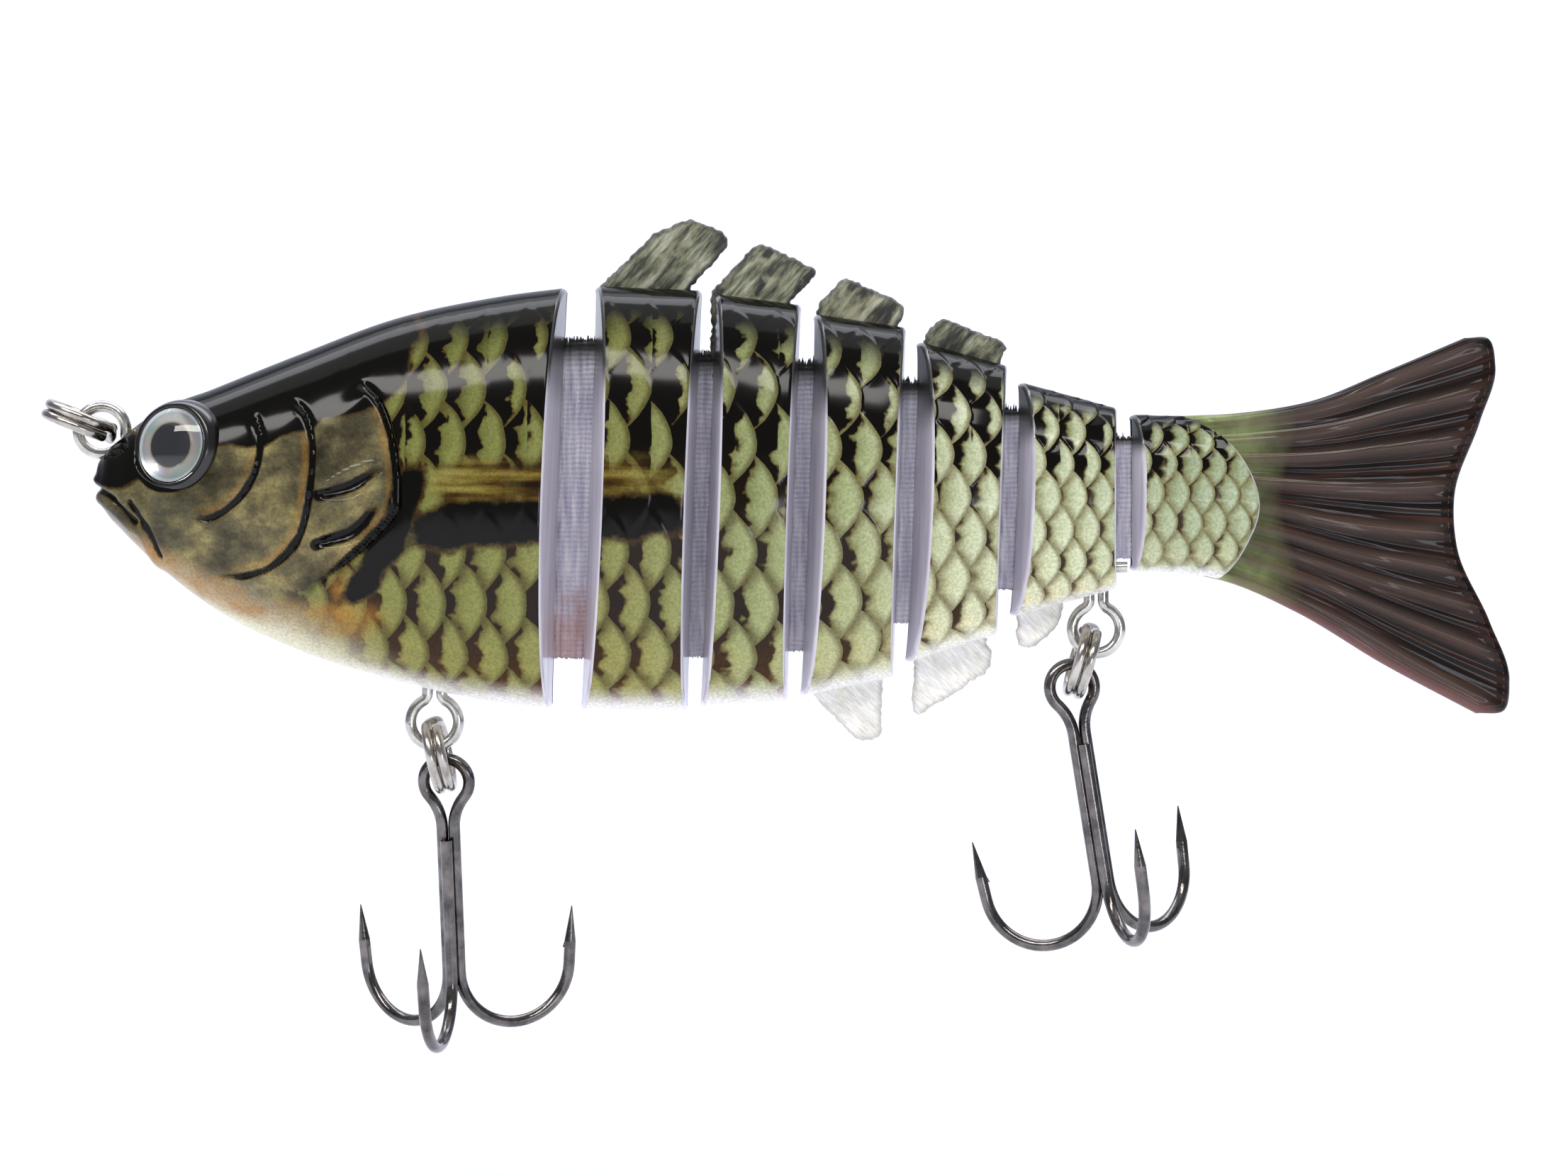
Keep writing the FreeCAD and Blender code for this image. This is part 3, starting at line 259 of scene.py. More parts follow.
# ---- mesh making ------------------------------------------------------------
def make_mesh(name, points, faces, materials, picks=None, uvs=None, fields=None, smooth_shaded=True):
    """An object from points in millimetres, with UVs and number fields given for each point."""
    mesh = bpy.data.meshes.new(name)
    mesh.from_pydata((np.asarray(points, float) * MM).tolist(), [],
                     [tuple(int(i) for i in f) for f in faces])
    for material in materials:
        mesh.materials.append(material)
    if picks is not None:
        mesh.polygons.foreach_set("material_index", np.asarray(picks, np.int32))
    corner = np.empty(len(mesh.loops), np.int32)
    mesh.loops.foreach_get("vertex_index", corner)
    for label, pairs in (uvs or {}).items():
        layer = mesh.uv_layers.new(name=label)
        layer.data.foreach_set("uv", np.asarray(pairs, np.float32)[corner].ravel())
    for label, values in (fields or {}).items():
        attribute = mesh.attributes.new(label, "FLOAT", "POINT")
        attribute.data.foreach_set("value", np.asarray(values, np.float32))
    mesh.polygons.foreach_set("use_smooth", np.full(len(mesh.polygons), smooth_shaded))
    mesh.validate()
    mesh.update()
    obj = bpy.data.objects.new(name, mesh)
    bpy.context.scene.collection.objects.link(obj)
    return obj


def grid_faces(rows, columns, flip=False, start=0):
    """Quads of a grid of points stored row by row."""
    r, c = np.meshgrid(np.arange(rows - 1), np.arange(columns - 1), indexing="ij")
    a = (start + r * columns + c).ravel()
    quads = np.stack([a, a + 1, a + columns + 1, a + columns], 1)
    return quads[:, ::-1] if flip else quads


def normals_of(p):
    """Outward normals of a grid of points, from its rows and columns."""
    n = np.cross(np.gradient(p, axis=0), np.gradient(p, axis=1))
    return n / np.maximum(np.linalg.norm(n, axis=2, keepdims=True), 1e-9)


# ---- materials --------------------------------------------------------------
# Noise scales are in features per metre, so 1000 gives features of 1 mm.
# A Mix node's sockets when it mixes colours: the share of B, colours A and B, and what comes out.
SHARE, A, B, MIXED = 0, 6, 7, 2
EASED = {"interpolation_type": "SMOOTHSTEP"}


def linear(hex_colour):
    """A #rrggbb screen colour as the linear numbers that a shader takes."""
    parts = [int(hex_colour[i:i + 2], 16) / 255 for i in (1, 3, 5)]
    return (*[c / 12.92 if c <= 0.04045 else ((c + 0.055) / 1.055) ** 2.4 for c in parts], 1.0)


def add(tree, kind, inputs=None, **settings):
    """Adds a node with its settings and links.

    An input is a number or colour, or the output to link from; a node stands for its first output. Math takes
    inputs 0, 1 and 2 in the order of its formula. Map Range takes the value, the range it comes from, and the
    range it goes to.
    """
    made = tree.nodes.new("ShaderNode" + kind)
    for key, value in settings.items():
        setattr(made, key, value)
    for key, value in (inputs or {}).items():
        if isinstance(value, bpy.types.Node):
            value = value.outputs[0]
        if isinstance(value, bpy.types.NodeSocket):
            tree.links.new(value, made.inputs[key])
        else:
            made.inputs[key].default_value = value
    return made


def set_stops(ramp, stops):
    """Colour ramp stops from (place, hex colour) or (place, grey) pairs."""
    elements = ramp.color_ramp.elements
    while len(elements) < len(stops):
        elements.new(0.5)
    for element, (place, value) in zip(elements, stops):
        element.position = place
        element.color = linear(value) if isinstance(value, str) else (value, value, value, 1.0)


def coat(tree, under, share, over, **settings):
    """The colour under, with another over it by a share from 0 to 1."""
    if isinstance(over, str):
        over = linear(over)
    mix = add(tree, "Mix", {SHARE: share, A: under, B: over}, data_type="RGBA", **settings)
    return mix.outputs[MIXED]


def new_material(name, **shader):
    """A material with one Principled shader, its fixed numbers, and its tree."""
    material = bpy.data.materials.new(name)
    material.use_nodes = True
    tree = material.node_tree
    principled = tree.nodes["Principled BSDF"]
    for key, value in shader.items():
        principled.inputs[key.replace("_", " ")].default_value = value
    return material, tree, principled


def printed_abs():
    """ABS shells, injection moulded, wrapped in a printed scale film and dipped in clear lacquer.

    The film gives soft-edged, slightly grainy colour; the lacquer over it is smooth and glassy.
    """
    material, tree, principled = new_material(
        "abs_moulded_scale_print_clear_lacquer", Roughness=0.5, IOR=1.53, Specular_IOR_Level=0.0,
        Coat_Weight=0.5, Coat_Roughness=0.10, Coat_IOR=1.42,
    )
    cells = add(tree, "SeparateXYZ", {0: add(tree, "UVMap", uv_map="lattice")})
    wobble_at = add(tree, "TexCoord").outputs["Object"]
    wobble = add(tree, "TexNoise", {"Vector": wobble_at, "Scale": 420.0, "Detail": 2.0})
    wobble_u = add(tree, "Math", {0: wobble, 1: 0.34, 2: cells}, operation="MULTIPLY_ADD")
    u = add(tree, "Math", {0: wobble_u, 1: 0.17}, operation="SUBTRACT")
    v = cells.outputs[1]
    k = add(tree, "Math", {0: u}, operation="FLOOR")
    t = add(tree, "Math", {0: u, 1: k}, operation="SUBTRACT")
    half = add(tree, "Math", {0: k, 1: 2.0}, operation="FLOORED_MODULO")
    row = add(tree, "Math", {0: half, 1: 0.5, 2: v}, operation="MULTIPLY_ADD")
    off, arc, lines = [], [], []
    for shift in (0.0, 0.5):
        place = add(tree, "Math", {0: row, 1: shift}, operation="ADD")
        part = add(tree, "Math", {0: place}, operation="FRACT")
        lines.append(add(tree, "Math", {0: place, 1: part}, operation="SUBTRACT"))
        centred = add(tree, "Math", {0: part, 1: 0.5}, operation="SUBTRACT")
        size = add(tree, "Math", {0: centred}, operation="ABSOLUTE")
        square = add(tree, "Math", {0: size, 1: size}, operation="MULTIPLY")
        off.append(size)
        arc.append(add(tree, "Math", {0: square, 1: 4 * SCALE_BULGE}, operation="MULTIPLY"))
    # before[n]: distance left before the edge of the nth scale from here; t is taken off each.
    before = []
    for start, bend in ((1.0, arc[0]), (2.0, arc[1]), (3.0, arc[0])):
        edge = add(tree, "Math", {0: start, 1: bend}, operation="SUBTRACT")
        before.append(add(tree, "Math", {0: edge, 1: t}, operation="SUBTRACT"))
    near_front = add(tree, "Math", {0: arc[1], 1: t}, operation="ADD")
    far_front = add(tree, "Math", {0: before[0], 1: -1.0, 2: 2.0}, operation="MULTIPLY_ADD")
    front = add(tree, "Math", {0: near_front, 1: far_front}, operation="MINIMUM")
    past = [add(tree, "Math", {0: b, 1: -1.0}, operation="MULTIPLY") for b in before[:2]]
    front_1 = add(tree, "Math", {0: front, 1: past[0]}, operation="MINIMUM")
    front_2 = add(tree, "Math", {0: front_1, 1: past[1]}, operation="MINIMUM")
    on_first = add(tree, "Math", {0: before[0], 1: 0.0}, operation="GREATER_THAN")
    on_second = add(tree, "Math", {0: before[1], 1: 0.0}, operation="GREATER_THAN")

    def chosen(first, second, third):
        later = add(tree, "Mix", {0: on_second, 2: third, 3: second})
        return add(tree, "Mix", {0: on_first, 2: later, 3: first})

    behind = chosen(front, front_1, front_2)
    own = chosen(before[0], before[1], before[2])
    aside = chosen(off[0], off[1], off[0])
    line = chosen(lines[0], lines[1], lines[0])
    column = add(tree, "Math", {0: chosen(0.0, 1.0, 2.0), 1: k}, operation="ADD")
    # Where the print lies round the body, 0 at the back and 1 at the belly, and how far along it.
    girth = add(tree, "SeparateXYZ", {0: add(tree, "UVMap", uv_map="girth")}).outputs
    cloud = add(tree, "TexNoise", {"Vector": wobble_at, "Scale": 260.0, "Detail": 4.0, "Roughness": 0.6})
    grain = add(tree, "TexNoise", {"Vector": wobble_at, "Scale": 5200.0, "Detail": 1.0})
    round_at = add(tree, "Math", {0: cloud, 1: 0.06, 2: girth[1]}, operation="MULTIPLY_ADD")
    base = add(tree, "ValToRGB", {0: round_at})
    set_stops(base, [(0.13, "#0b0c07"), (0.165, "#2c3218"), (0.24, "#717a4e"), (0.42, "#99a27a"),
                     (0.60, "#aeb58f"), (0.80, "#c4c79c"), (0.895, "#e8e0b4"), (0.95, "#fbf7e6"),
                     (1.0, "#ffffff")])
    # The print is deeper and browner towards the head, and palest on the fourth and fifth segments.
    along = add(tree, "MapRange", {0: girth[0], 1: 24.0, 2: 80.0, 3: 0.0, 4: 1.0})
    depth = add(tree, "ValToRGB", {0: along})
    set_stops(depth, [(0.05, "#9f9d6a"), (0.25, "#aba779"), (0.40, "#bdc0a0"), (0.53, "#d4d5be"),
                      (0.66, "#fbfaf7"), (0.80, "#ffffff"), (0.93, "#d6dcd6")])
    mark_amount = add(tree, "ValToRGB", {0: girth[1]})
    set_stops(mark_amount, [(0.10, 1.0), (0.32, 1.0), (0.42, 0.82), (0.52, 0.68), (0.62, 0.74), (0.78, 0.76),
                            (0.90, 0.5), (0.97, 0.0)])
    mark_colour = add(tree, "ValToRGB", {0: girth[1]})
    set_stops(mark_colour, [(0.0, "#040302"), (0.40, "#080502"), (0.55, "#1c1206"), (0.75, "#1e1206"),
                            (0.86, "#3f270c"),
                            (1.0, "#8a5a1e")])
    # Each scale: a dark printed patch where it comes out from under the scales in front, a brown band of
    # painted shadow just behind those scales' edges, a brown line at its own edge, and a pale band inside
    # that.
    which = add(tree, "CombineXYZ", {0: column, 1: line})
    chance = add(tree, "TexWhiteNoise", {"Vector": which}, noise_dimensions="2D")
    reach_high = add(tree, "Math", {0: chance, 1: 0.75, 2: 0.72}, operation="MULTIPLY_ADD")
    reach_from = add(tree, "MapRange", {0: girth[0], 1: 42.0, 2: 58.0, 3: 0.42, 4: 0.12})
    reach_low = add(tree, "Math", {0: chance, 1: 0.5, 2: reach_from}, operation="MULTIPLY_ADD")
    lower = add(tree, "MapRange", {0: girth[1], 1: 0.30, 2: 0.52, 3: 0.0, 4: 1.0})
    reach = add(tree, "Mix", {0: lower, 2: reach_high, 3: reach_low})
    blot = add(tree, "TexNoise", {"Vector": wobble_at, "Scale": 800.0, "Detail": 2.0, "Roughness": 0.55})
    ragged = add(tree, "Math", {0: blot, 1: 1.4, 2: -0.70}, operation="MULTIPLY_ADD")
    narrowing = add(tree, "Math", {0: aside, 1: aside}, operation="MULTIPLY")
    depth_in = add(tree, "Math", {0: narrowing, 1: 7.5, 2: behind}, operation="MULTIPLY_ADD")
    depth_in = add(tree, "Math", {0: depth_in, 1: ragged}, operation="ADD")
    short_of = add(tree, "Math", {0: reach, 1: depth_in}, operation="SUBTRACT")
    dark = add(tree, "MapRange", {0: short_of, 1: -0.22, 2: 0.42, 3: 0.0, 4: 1.0}, **EASED)
    dark = add(tree, "Math", {0: dark, 1: mark_amount}, operation="MULTIPLY")
    fade_back = add(tree, "MapRange", {0: girth[0], 1: 46.0, 2: 66.0, 3: 1.35, 4: 0.62})
    dark = add(tree, "Math", {0: dark, 1: fade_back}, operation="MULTIPLY", use_clamp=True)
    edge = add(tree, "MapRange", {0: own, 1: 0.42, 2: 0.02, 3: 0.0, 4: 1.0}, **EASED)
    # Painted shadow: a brown band just behind the edge of each scale in front, where that edge would cast
    # shade.
    painted_shadow = add(tree, "MapRange", {0: behind, 1: 0.95, 2: 0.0, 3: 0.0, 4: 1.0}, **EASED)
    # outline holds the printed edge line and the band of painted shadow behind the scales in front.
    outline = add(tree, "Math", {0: edge, 1: painted_shadow}, operation="MAXIMUM")
    on_scales = add(tree, "MapRange", {0: girth[1], 1: 0.97, 2: 0.84, 3: 0.0, 4: 0.72})
    outline = add(tree, "Math", {0: outline, 1: on_scales}, operation="MULTIPLY")
    pale = add(tree, "MapRange", {0: own, 1: 1.5, 2: 0.45, 3: 0.0, 4: 0.5}, **EASED)
    colour = coat(tree, base, pale, "#d3d9ba")
    colour = coat(tree, colour, 1.0, depth, blend_type="MULTIPLY")
    edge_line_and_shadow_colour = add(tree, "ValToRGB", {0: along})
    set_stops(edge_line_and_shadow_colour, [(0.35, "#382a0c"), (0.60, "#5a4a20"), (0.80, "#6f6434")])
    colour = coat(tree, colour, outline, edge_line_and_shadow_colour)
    halo = add(tree, "MapRange", {0: dark, 1: 0.0, 2: 0.4, 3: 0.0, 4: 0.75})
    colour = coat(tree, colour, halo, "#54401a")
    core = add(tree, "MapRange", {0: dark, 1: 0.18, 2: 0.55, 3: 0.0, 4: 1.0}, **EASED)
    colour = coat(tree, colour, core, mark_colour)
    back_fill = add(tree, "MapRange", {0: round_at, 1: 0.235, 2: 0.15, 3: 0.0, 4: 1.0}, **EASED)
    colour = coat(tree, colour, back_fill, "#0b0c08")
    belly = add(tree, "MapRange", {0: round_at, 1: 0.90, 2: 0.985, 3: 0.0, 4: 0.95}, **EASED)
    colour = coat(tree, colour, belly, "#ece8e2")
    # The flank's brown band, with streaks along the body.
    fields = {name: add(tree, "Attribute", attribute_name=name).outputs["Fac"]
              for name in ("face", "ink", "ochre_and_painted_highlight", "band")}
    mottle_at = add(tree, "Mapping", {"Vector": wobble_at, "Rotation": (0.0, 0.7, 0.0),
                                   "Scale": (240.0, 240.0, 330.0)})
    mottle = add(tree, "TexNoise", {"Vector": mottle_at, "Scale": 1.0, "Detail": 4.0, "Roughness": 0.6})
    stretched = add(tree, "Mapping", {"Vector": wobble_at, "Scale": (110.0, 110.0, 950.0)})
    streak = add(tree, "ValToRGB", {0: add(tree, "TexNoise",
                                           {"Vector": stretched, "Scale": 1.0, "Detail": 5.0})})
    set_stops(streak, [(0.34, "#1c1206"), (0.46, "#46320f"), (0.56, "#6d5c26"), (0.68, "#8c8446")])
    band = add(tree, "Math", {0: mottle, 1: 1.2, 2: fields["band"]}, operation="MULTIPLY_ADD")
    band = add(tree, "MapRange", {0: band, 1: 0.80, 2: 1.50, 3: 0.0, 4: 0.92}, **EASED)
    colour = coat(tree, colour, band, streak)
    # Cheeks: mottled grey-brown and yellow, paler below.
    cheek = add(tree, "ValToRGB", {0: mottle})
    set_stops(cheek, [(0.30, "#2a261b"), (0.42, "#45402e"), (0.52, "#625a3e"), (0.62, "#857a4f"),
                      (0.74, "#a59a68")])
    under = add(tree, "MapRange", {0: girth[1], 1: 0.70, 2: 0.90, 3: 0.0, 4: 1.0}, **EASED)
    cheek = coat(tree, cheek, under, "#d8d2b4")
    snout = add(tree, "MapRange", {0: girth[0], 1: 9.0, 2: 1.0, 3: 0.0, 4: 0.45})
    cheek = coat(tree, cheek, snout, "#3b3a2a")
    colour = coat(tree, colour, fields["face"], cheek)
    # Ochre: printed on the jaw and gill, plus a painted highlight along the raised edges of the gill plates.
    ochre_and_painted_highlight_share = add(tree, "Math", {0: cloud, 1: 2.6, 2: -0.75}, operation="MULTIPLY_ADD")
    ochre_and_painted_highlight_share = add(tree, "Math", {0: fields["ochre_and_painted_highlight"], 1: ochre_and_painted_highlight_share}, operation="MULTIPLY", use_clamp=True)
    colour = coat(tree, colour, ochre_and_painted_highlight_share, "#a06f28")
    brushed = add(tree, "TexNoise", {"Vector": wobble_at, "Scale": 420.0, "Detail": 5.0, "Roughness": 0.62})
    ink = add(tree, "Math", {0: brushed, 1: 1.3, 2: fields["ink"]}, operation="MULTIPLY_ADD")
    fringe = add(tree, "MapRange", {0: ink, 1: 0.84, 2: 1.10, 3: 0.0, 4: 0.85}, **EASED)
    colour = coat(tree, colour, fringe, "#3d2c10")
    ink = add(tree, "MapRange", {0: ink, 1: 1.02, 2: 1.26, 3: 0.0, 4: 1.0}, **EASED)
    colour = coat(tree, colour, ink, "#070603")
    # Printer's grain, about 0.2 mm.
    speck = add(tree, "MapRange", {0: grain, 1: 0.3, 2: 0.7, 3: 0.82, 4: 1.18})
    colour = coat(tree, colour, 1.0, speck, blend_type="MULTIPLY")
    tree.links.new(colour, principled.inputs["Base Color"])
    # Lacquer: nearly flat, with a slow sag of a few hundredths of a millimetre.
    sag = add(tree, "TexNoise", {"Vector": wobble_at, "Scale": 300.0, "Detail": 1.0})
    bump = add(tree, "Bump", {"Strength": 0.12, "Distance": 0.0002, "Height": sag})
    tree.links.new(bump.outputs[0], principled.inputs["Coat Normal"])
    return material


def milky_abs():
    """Bare ABS where the film stops: moulded, milky and faintly lavender, with light let in a little way."""
    material, tree, principled = new_material(
        "abs_moulded_milky_bare", Roughness=0.3, IOR=1.53, Subsurface_Weight=0.35, Subsurface_Scale=0.0012,
        Subsurface_Radius=(1.0, 0.85, 0.9), Coat_Weight=0.5, Coat_Roughness=0.12,
    )
    at = add(tree, "TexCoord").outputs["Object"]
    flow_at = add(tree, "Mapping", {"Vector": at, "Scale": (900.0, 900.0, 130.0)})
    flow = add(tree, "TexNoise", {"Vector": flow_at, "Scale": 1.0, "Detail": 3.0})
    tone = add(tree, "ValToRGB", {0: flow})
    set_stops(tone, [(0.3, "#b9b2bd"), (0.5, "#c8c3cc"), (0.7, "#d6d3d8")])
    girth = add(tree, "SeparateXYZ", {0: add(tree, "UVMap", uv_map="girth")}).outputs[1]
    over = add(tree, "MapRange", {0: girth, 1: 0.34, 2: 0.24, 3: 0.0, 4: 0.94}, **EASED)
    colour = coat(tree, tone, over, "#14170f")
    tree.links.new(colour, principled.inputs["Base Color"])
    bump = add(tree, "Bump", {"Strength": 0.25, "Distance": 0.0001, "Height": flow})
    tree.links.new(bump.outputs[0], principled.inputs["Normal"])
    return material


def nylon_sheet():
    """Woven nylon web in the gaps: cords run up and down, about 0.4 mm apart, with a weft every 0.35 mm."""
    material, tree, principled = new_material(
        "nylon_woven_web", Roughness=0.62, IOR=1.53, Sheen_Weight=0.4, Sheen_Roughness=0.4,
        Subsurface_Weight=0.15, Subsurface_Scale=0.0006,
    )
    at = add(tree, "TexCoord").outputs["Object"]
    thread_at = add(tree, "Mapping", {"Vector": at, "Scale": (2600.0, 1.0, 260.0)})
    thread = add(tree, "TexNoise", {"Vector": thread_at, "Scale": 1.0, "Detail": 2.0})
    weft = add(tree, "TexWave", {"Vector": at, "Scale": 900.0, "Distortion": 2.5, "Detail": 2.0},
               bands_direction="Z").outputs[1]
    tone = add(tree, "ValToRGB", {0: thread})
    set_stops(tone, [(0.28, "#aeaac0"), (0.5, "#cbc8d6"), (0.72, "#e6e4ec")])
    height = add(tree, "Attribute", attribute_name="height").outputs["Fac"]
    rust_noise = add(tree, "TexNoise", {"Vector": at, "Scale": 900.0, "Detail": 3.0})
    rust = add(tree, "Attribute", attribute_name="stain").outputs["Fac"]
    rust = add(tree, "Math", {0: rust, 1: rust_noise}, operation="MULTIPLY")
    rust = add(tree, "MapRange", {0: rust, 1: 0.20, 2: 0.52, 3: 0.0, 4: 0.55})
    colour = coat(tree, tone, rust, "#b3785c")
    ink = add(tree, "MapRange", {0: height, 1: 0.90, 2: 0.965, 3: 0.0, 4: 1.0})
    colour = coat(tree, colour, ink, "#0b0b0a")
    tree.links.new(colour, principled.inputs["Base Color"])
    both = add(tree, "Math", {0: thread, 1: weft}, operation="ADD")
    bump = add(tree, "Bump", {"Strength": 0.7, "Distance": 0.00012, "Height": both})
    tree.links.new(bump.outputs[0], principled.inputs["Normal"])
    return material


def fin_cloth(name, dark):
    """The same nylon sheet where it stands out as a fin: pressed flat, printed on the back only."""
    material, tree, principled = new_material(name, Roughness=0.66, IOR=1.53, Sheen_Weight=0.25,
                                              Subsurface_Weight=0.2,
                                              Subsurface_Scale=0.0006)
    at = add(tree, "TexCoord").outputs["Object"]
    # Streaks about 3 mm long and 0.5 mm apart lie along the fin's slant; fibres about 0.1 mm.
    slant = (0.0, -0.85 if dark else 0.75, 0.0)
    along = add(tree, "Mapping", {"Vector": at, "Rotation": slant, "Scale": (0.0035, 0.0035, 0.0007)},
                vector_type="TEXTURE")
    streak = add(tree, "TexNoise", {"Vector": along, "Scale": 1.0, "Detail": 5.0, "Roughness": 0.6})
    fibre_at = add(tree, "Mapping", {"Vector": at, "Rotation": slant, "Scale": (0.0007, 0.0007, 0.00011)},
                   vector_type="TEXTURE")
    fibre = add(tree, "TexNoise", {"Vector": fibre_at, "Scale": 1.0, "Detail": 3.0})
    blots = add(tree, "TexNoise", {"Vector": at, "Scale": 520.0, "Detail": 3.0})
    tone = add(tree, "ValToRGB", {0: streak})
    if dark:
        set_stops(tone, [(0.38, "#15150e"), (0.45, "#3a3b2c"), (0.52, "#6c6e55"), (0.64, "#a8a894")])
    else:
        set_stops(tone, [(0.3, "#dcd9cf"), (0.5, "#eae8e1"), (0.7, "#f5f4f0")])
    patch = add(tree, "MapRange", {0: blots, 1: 0.55, 2: 0.68, 3: 0.0, 4: 0.75 if dark else 0.35})
    spot = "#a5a284" if dark else "#c4c3a6"
    colour = coat(tree, tone, patch, spot)
    rim = add(tree, "Attribute", attribute_name="rim").outputs["Fac"]
    rim_colour = "#0e0e0b" if dark else "#b6b4a6"
    rim_amount = add(tree, "Math", {0: rim, 1: 0.85 if dark else 0.45}, operation="MULTIPLY")
    colour = coat(tree, colour, rim_amount, rim_colour)
    light = add(tree, "MapRange", {0: fibre, 1: 0.3, 2: 0.7, 3: 0.8, 4: 1.15})
    colour = coat(tree, colour, 1.0, light, blend_type="MULTIPLY")
    tree.links.new(colour, principled.inputs["Base Color"])
    bump = add(tree, "Bump", {"Strength": 0.6, "Distance": 0.0001, "Height": fibre})
    tree.links.new(bump.outputs[0], principled.inputs["Normal"])
    return material


def tail_plastic():
    """Tail blade: tinted soft-gloss plastic, moulded thin, dark brown with grey where the light skims it."""
    material, tree, principled = new_material(
        "pvc_moulded_tinted_blade", Roughness=0.42, IOR=1.52, Specular_IOR_Level=0.06,
        Coat_Weight=0.28, Coat_Roughness=0.07,
    )
    at = add(tree, "TexCoord").outputs["Object"]
    shares = add(tree, "SeparateXYZ", {0: add(tree, "UVMap", uv_map="fan")}).outputs
    fan_at = add(tree, "CombineXYZ", {0: shares[0], 1: shares[1]})
    streak_at = add(tree, "Mapping", {"Vector": fan_at, "Scale": (2.2, 55.0, 1.0)})
    streak = add(tree, "TexNoise", {"Vector": streak_at, "Scale": 1.0, "Detail": 4.0, "Roughness": 0.55})
    tone = add(tree, "ValToRGB", {0: streak})
    set_stops(tone, [(0.38, "#040201"), (0.48, "#120805"), (0.57, "#28160f"), (0.70, "#41291f")])
    pink = add(tree, "MapRange", {0: shares[1], 1: 0.93, 2: 1.0, 3: 0.0, 4: 0.75})
    colour = coat(tree, tone, pink, "#8d6660")
    blots = add(tree, "TexNoise", {"Vector": at, "Scale": 650.0, "Detail": 3.0})
    green = add(tree, "MapRange", {0: shares[0], 1: 0.36, 2: 0.12, 3: 0.0, 4: 1.5})
    green = add(tree, "Math", {0: green, 1: blots}, operation="MULTIPLY", use_clamp=True)
    colour = coat(tree, colour, green, "#8f9c63")
    ray = add(tree, "Attribute", attribute_name="ray").outputs["Fac"]
    ray_amount = add(tree, "Math", {0: ray, 1: 0.5}, operation="MULTIPLY")
    colour = coat(tree, colour, ray_amount, "#5d4c43")
    tree.links.new(colour, principled.inputs["Base Color"])
    bump = add(tree, "Bump", {"Strength": 0.25, "Distance": 0.00015, "Height": streak})
    tree.links.new(bump.outputs[0], principled.inputs["Normal"])
    return material


def wire_steel(name, low, high, roughness):
    """Drawn wire, plated: fine uneven relief from drawing, and slight changes of tone and gloss."""
    material, tree, principled = new_material(name, Metallic=1.0, Roughness=roughness)
    at = add(tree, "TexCoord").outputs["Object"]
    cloud = add(tree, "TexNoise", {"Vector": at, "Scale": 700.0, "Detail": 5.0, "Roughness": 0.6})
    tone = add(tree, "ValToRGB", {0: cloud})
    set_stops(tone, [(0.35, low), (0.65, high)])
    tree.links.new(tone.outputs[0], principled.inputs["Base Color"])
    wear = add(tree, "MapRange", {0: cloud, 1: 0.3, 2: 0.7, 3: roughness * 0.7, 4: roughness * 1.6})
    tree.links.new(wear.outputs[0], principled.inputs["Roughness"])
    fine = add(tree, "TexNoise", {"Vector": at, "Scale": 4200.0, "Detail": 2.0})
    bump = add(tree, "Bump", {"Strength": 0.18, "Distance": 0.00005, "Height": fine})
    tree.links.new(bump.outputs[0], principled.inputs["Normal"])
    return material


def eye_foil(name, seat, axis):
    """Printed foil disc under the eye's dome: black pupil, pearl iris that shifts in hue, bright rim."""
    material, tree, principled = new_material(name, Roughness=0.28, Metallic=0.35, Coat_Weight=0.4)
    at = add(tree, "TexCoord").outputs["Object"]
    out = add(tree, "VectorMath", {0: at, 1: [c * MM for c in seat]}, operation="SUBTRACT")
    across = add(tree, "VectorMath", {0: out, 1: axis}, operation="CROSS_PRODUCT")
    radius = add(tree, "VectorMath", {0: across}, operation="LENGTH").outputs["Value"]
    share = add(tree, "Math", {0: radius, 1: 1000.0 / 2.6}, operation="MULTIPLY")
    ring = add(tree, "ValToRGB", {0: share})
    set_stops(ring, [(0.0, "#040404"), (0.55, "#040404"), (0.58, "#8f8a76"), (0.63, "#c9bba8"),
                     (0.74, "#b4c3bd"),
                     (0.85, "#a6b6b4"), (0.90, "#e9efee"), (0.97, "#f4f7f6"), (1.0, "#c3cac8")])
    hue_at = add(tree, "Mapping", {"Vector": out, "Scale": (420.0, 420.0, 420.0)})
    hue = add(tree, "ValToRGB", {0: add(tree, "TexNoise", {"Vector": hue_at, "Scale": 1.0, "Detail": 2.0})})
    set_stops(hue, [(0.34, "#8fc0b8"), (0.47, "#c7c9b8"), (0.56, "#d8b7a8"), (0.68, "#b9a9cf")])
    iris = add(tree, "ValToRGB", {0: share})
    set_stops(iris, [(0.57, 0.0), (0.64, 0.45), (0.84, 0.45), (0.88, 0.0)])
    colour = coat(tree, ring, iris, hue)
    tree.links.new(colour, principled.inputs["Base Color"])
    return material


def clear_dome():
    """Eye dome: clear epoxy, cast, glass-smooth apart from a faint swell."""
    material, tree, principled = new_material(
        "epoxy_cast_clear_dome", Roughness=0.02, IOR=1.5, Transmission_Weight=1.0, Base_Color=(0.97, 0.98,
                                                                                               0.98, 1.0),
    )
    at = add(tree, "TexCoord").outputs["Object"]
    swell = add(tree, "TexNoise", {"Vector": at, "Scale": 500.0})
    bump = add(tree, "Bump", {"Strength": 0.05, "Distance": 0.0001, "Height": swell})
    tree.links.new(bump.outputs[0], principled.inputs["Normal"])
    return material


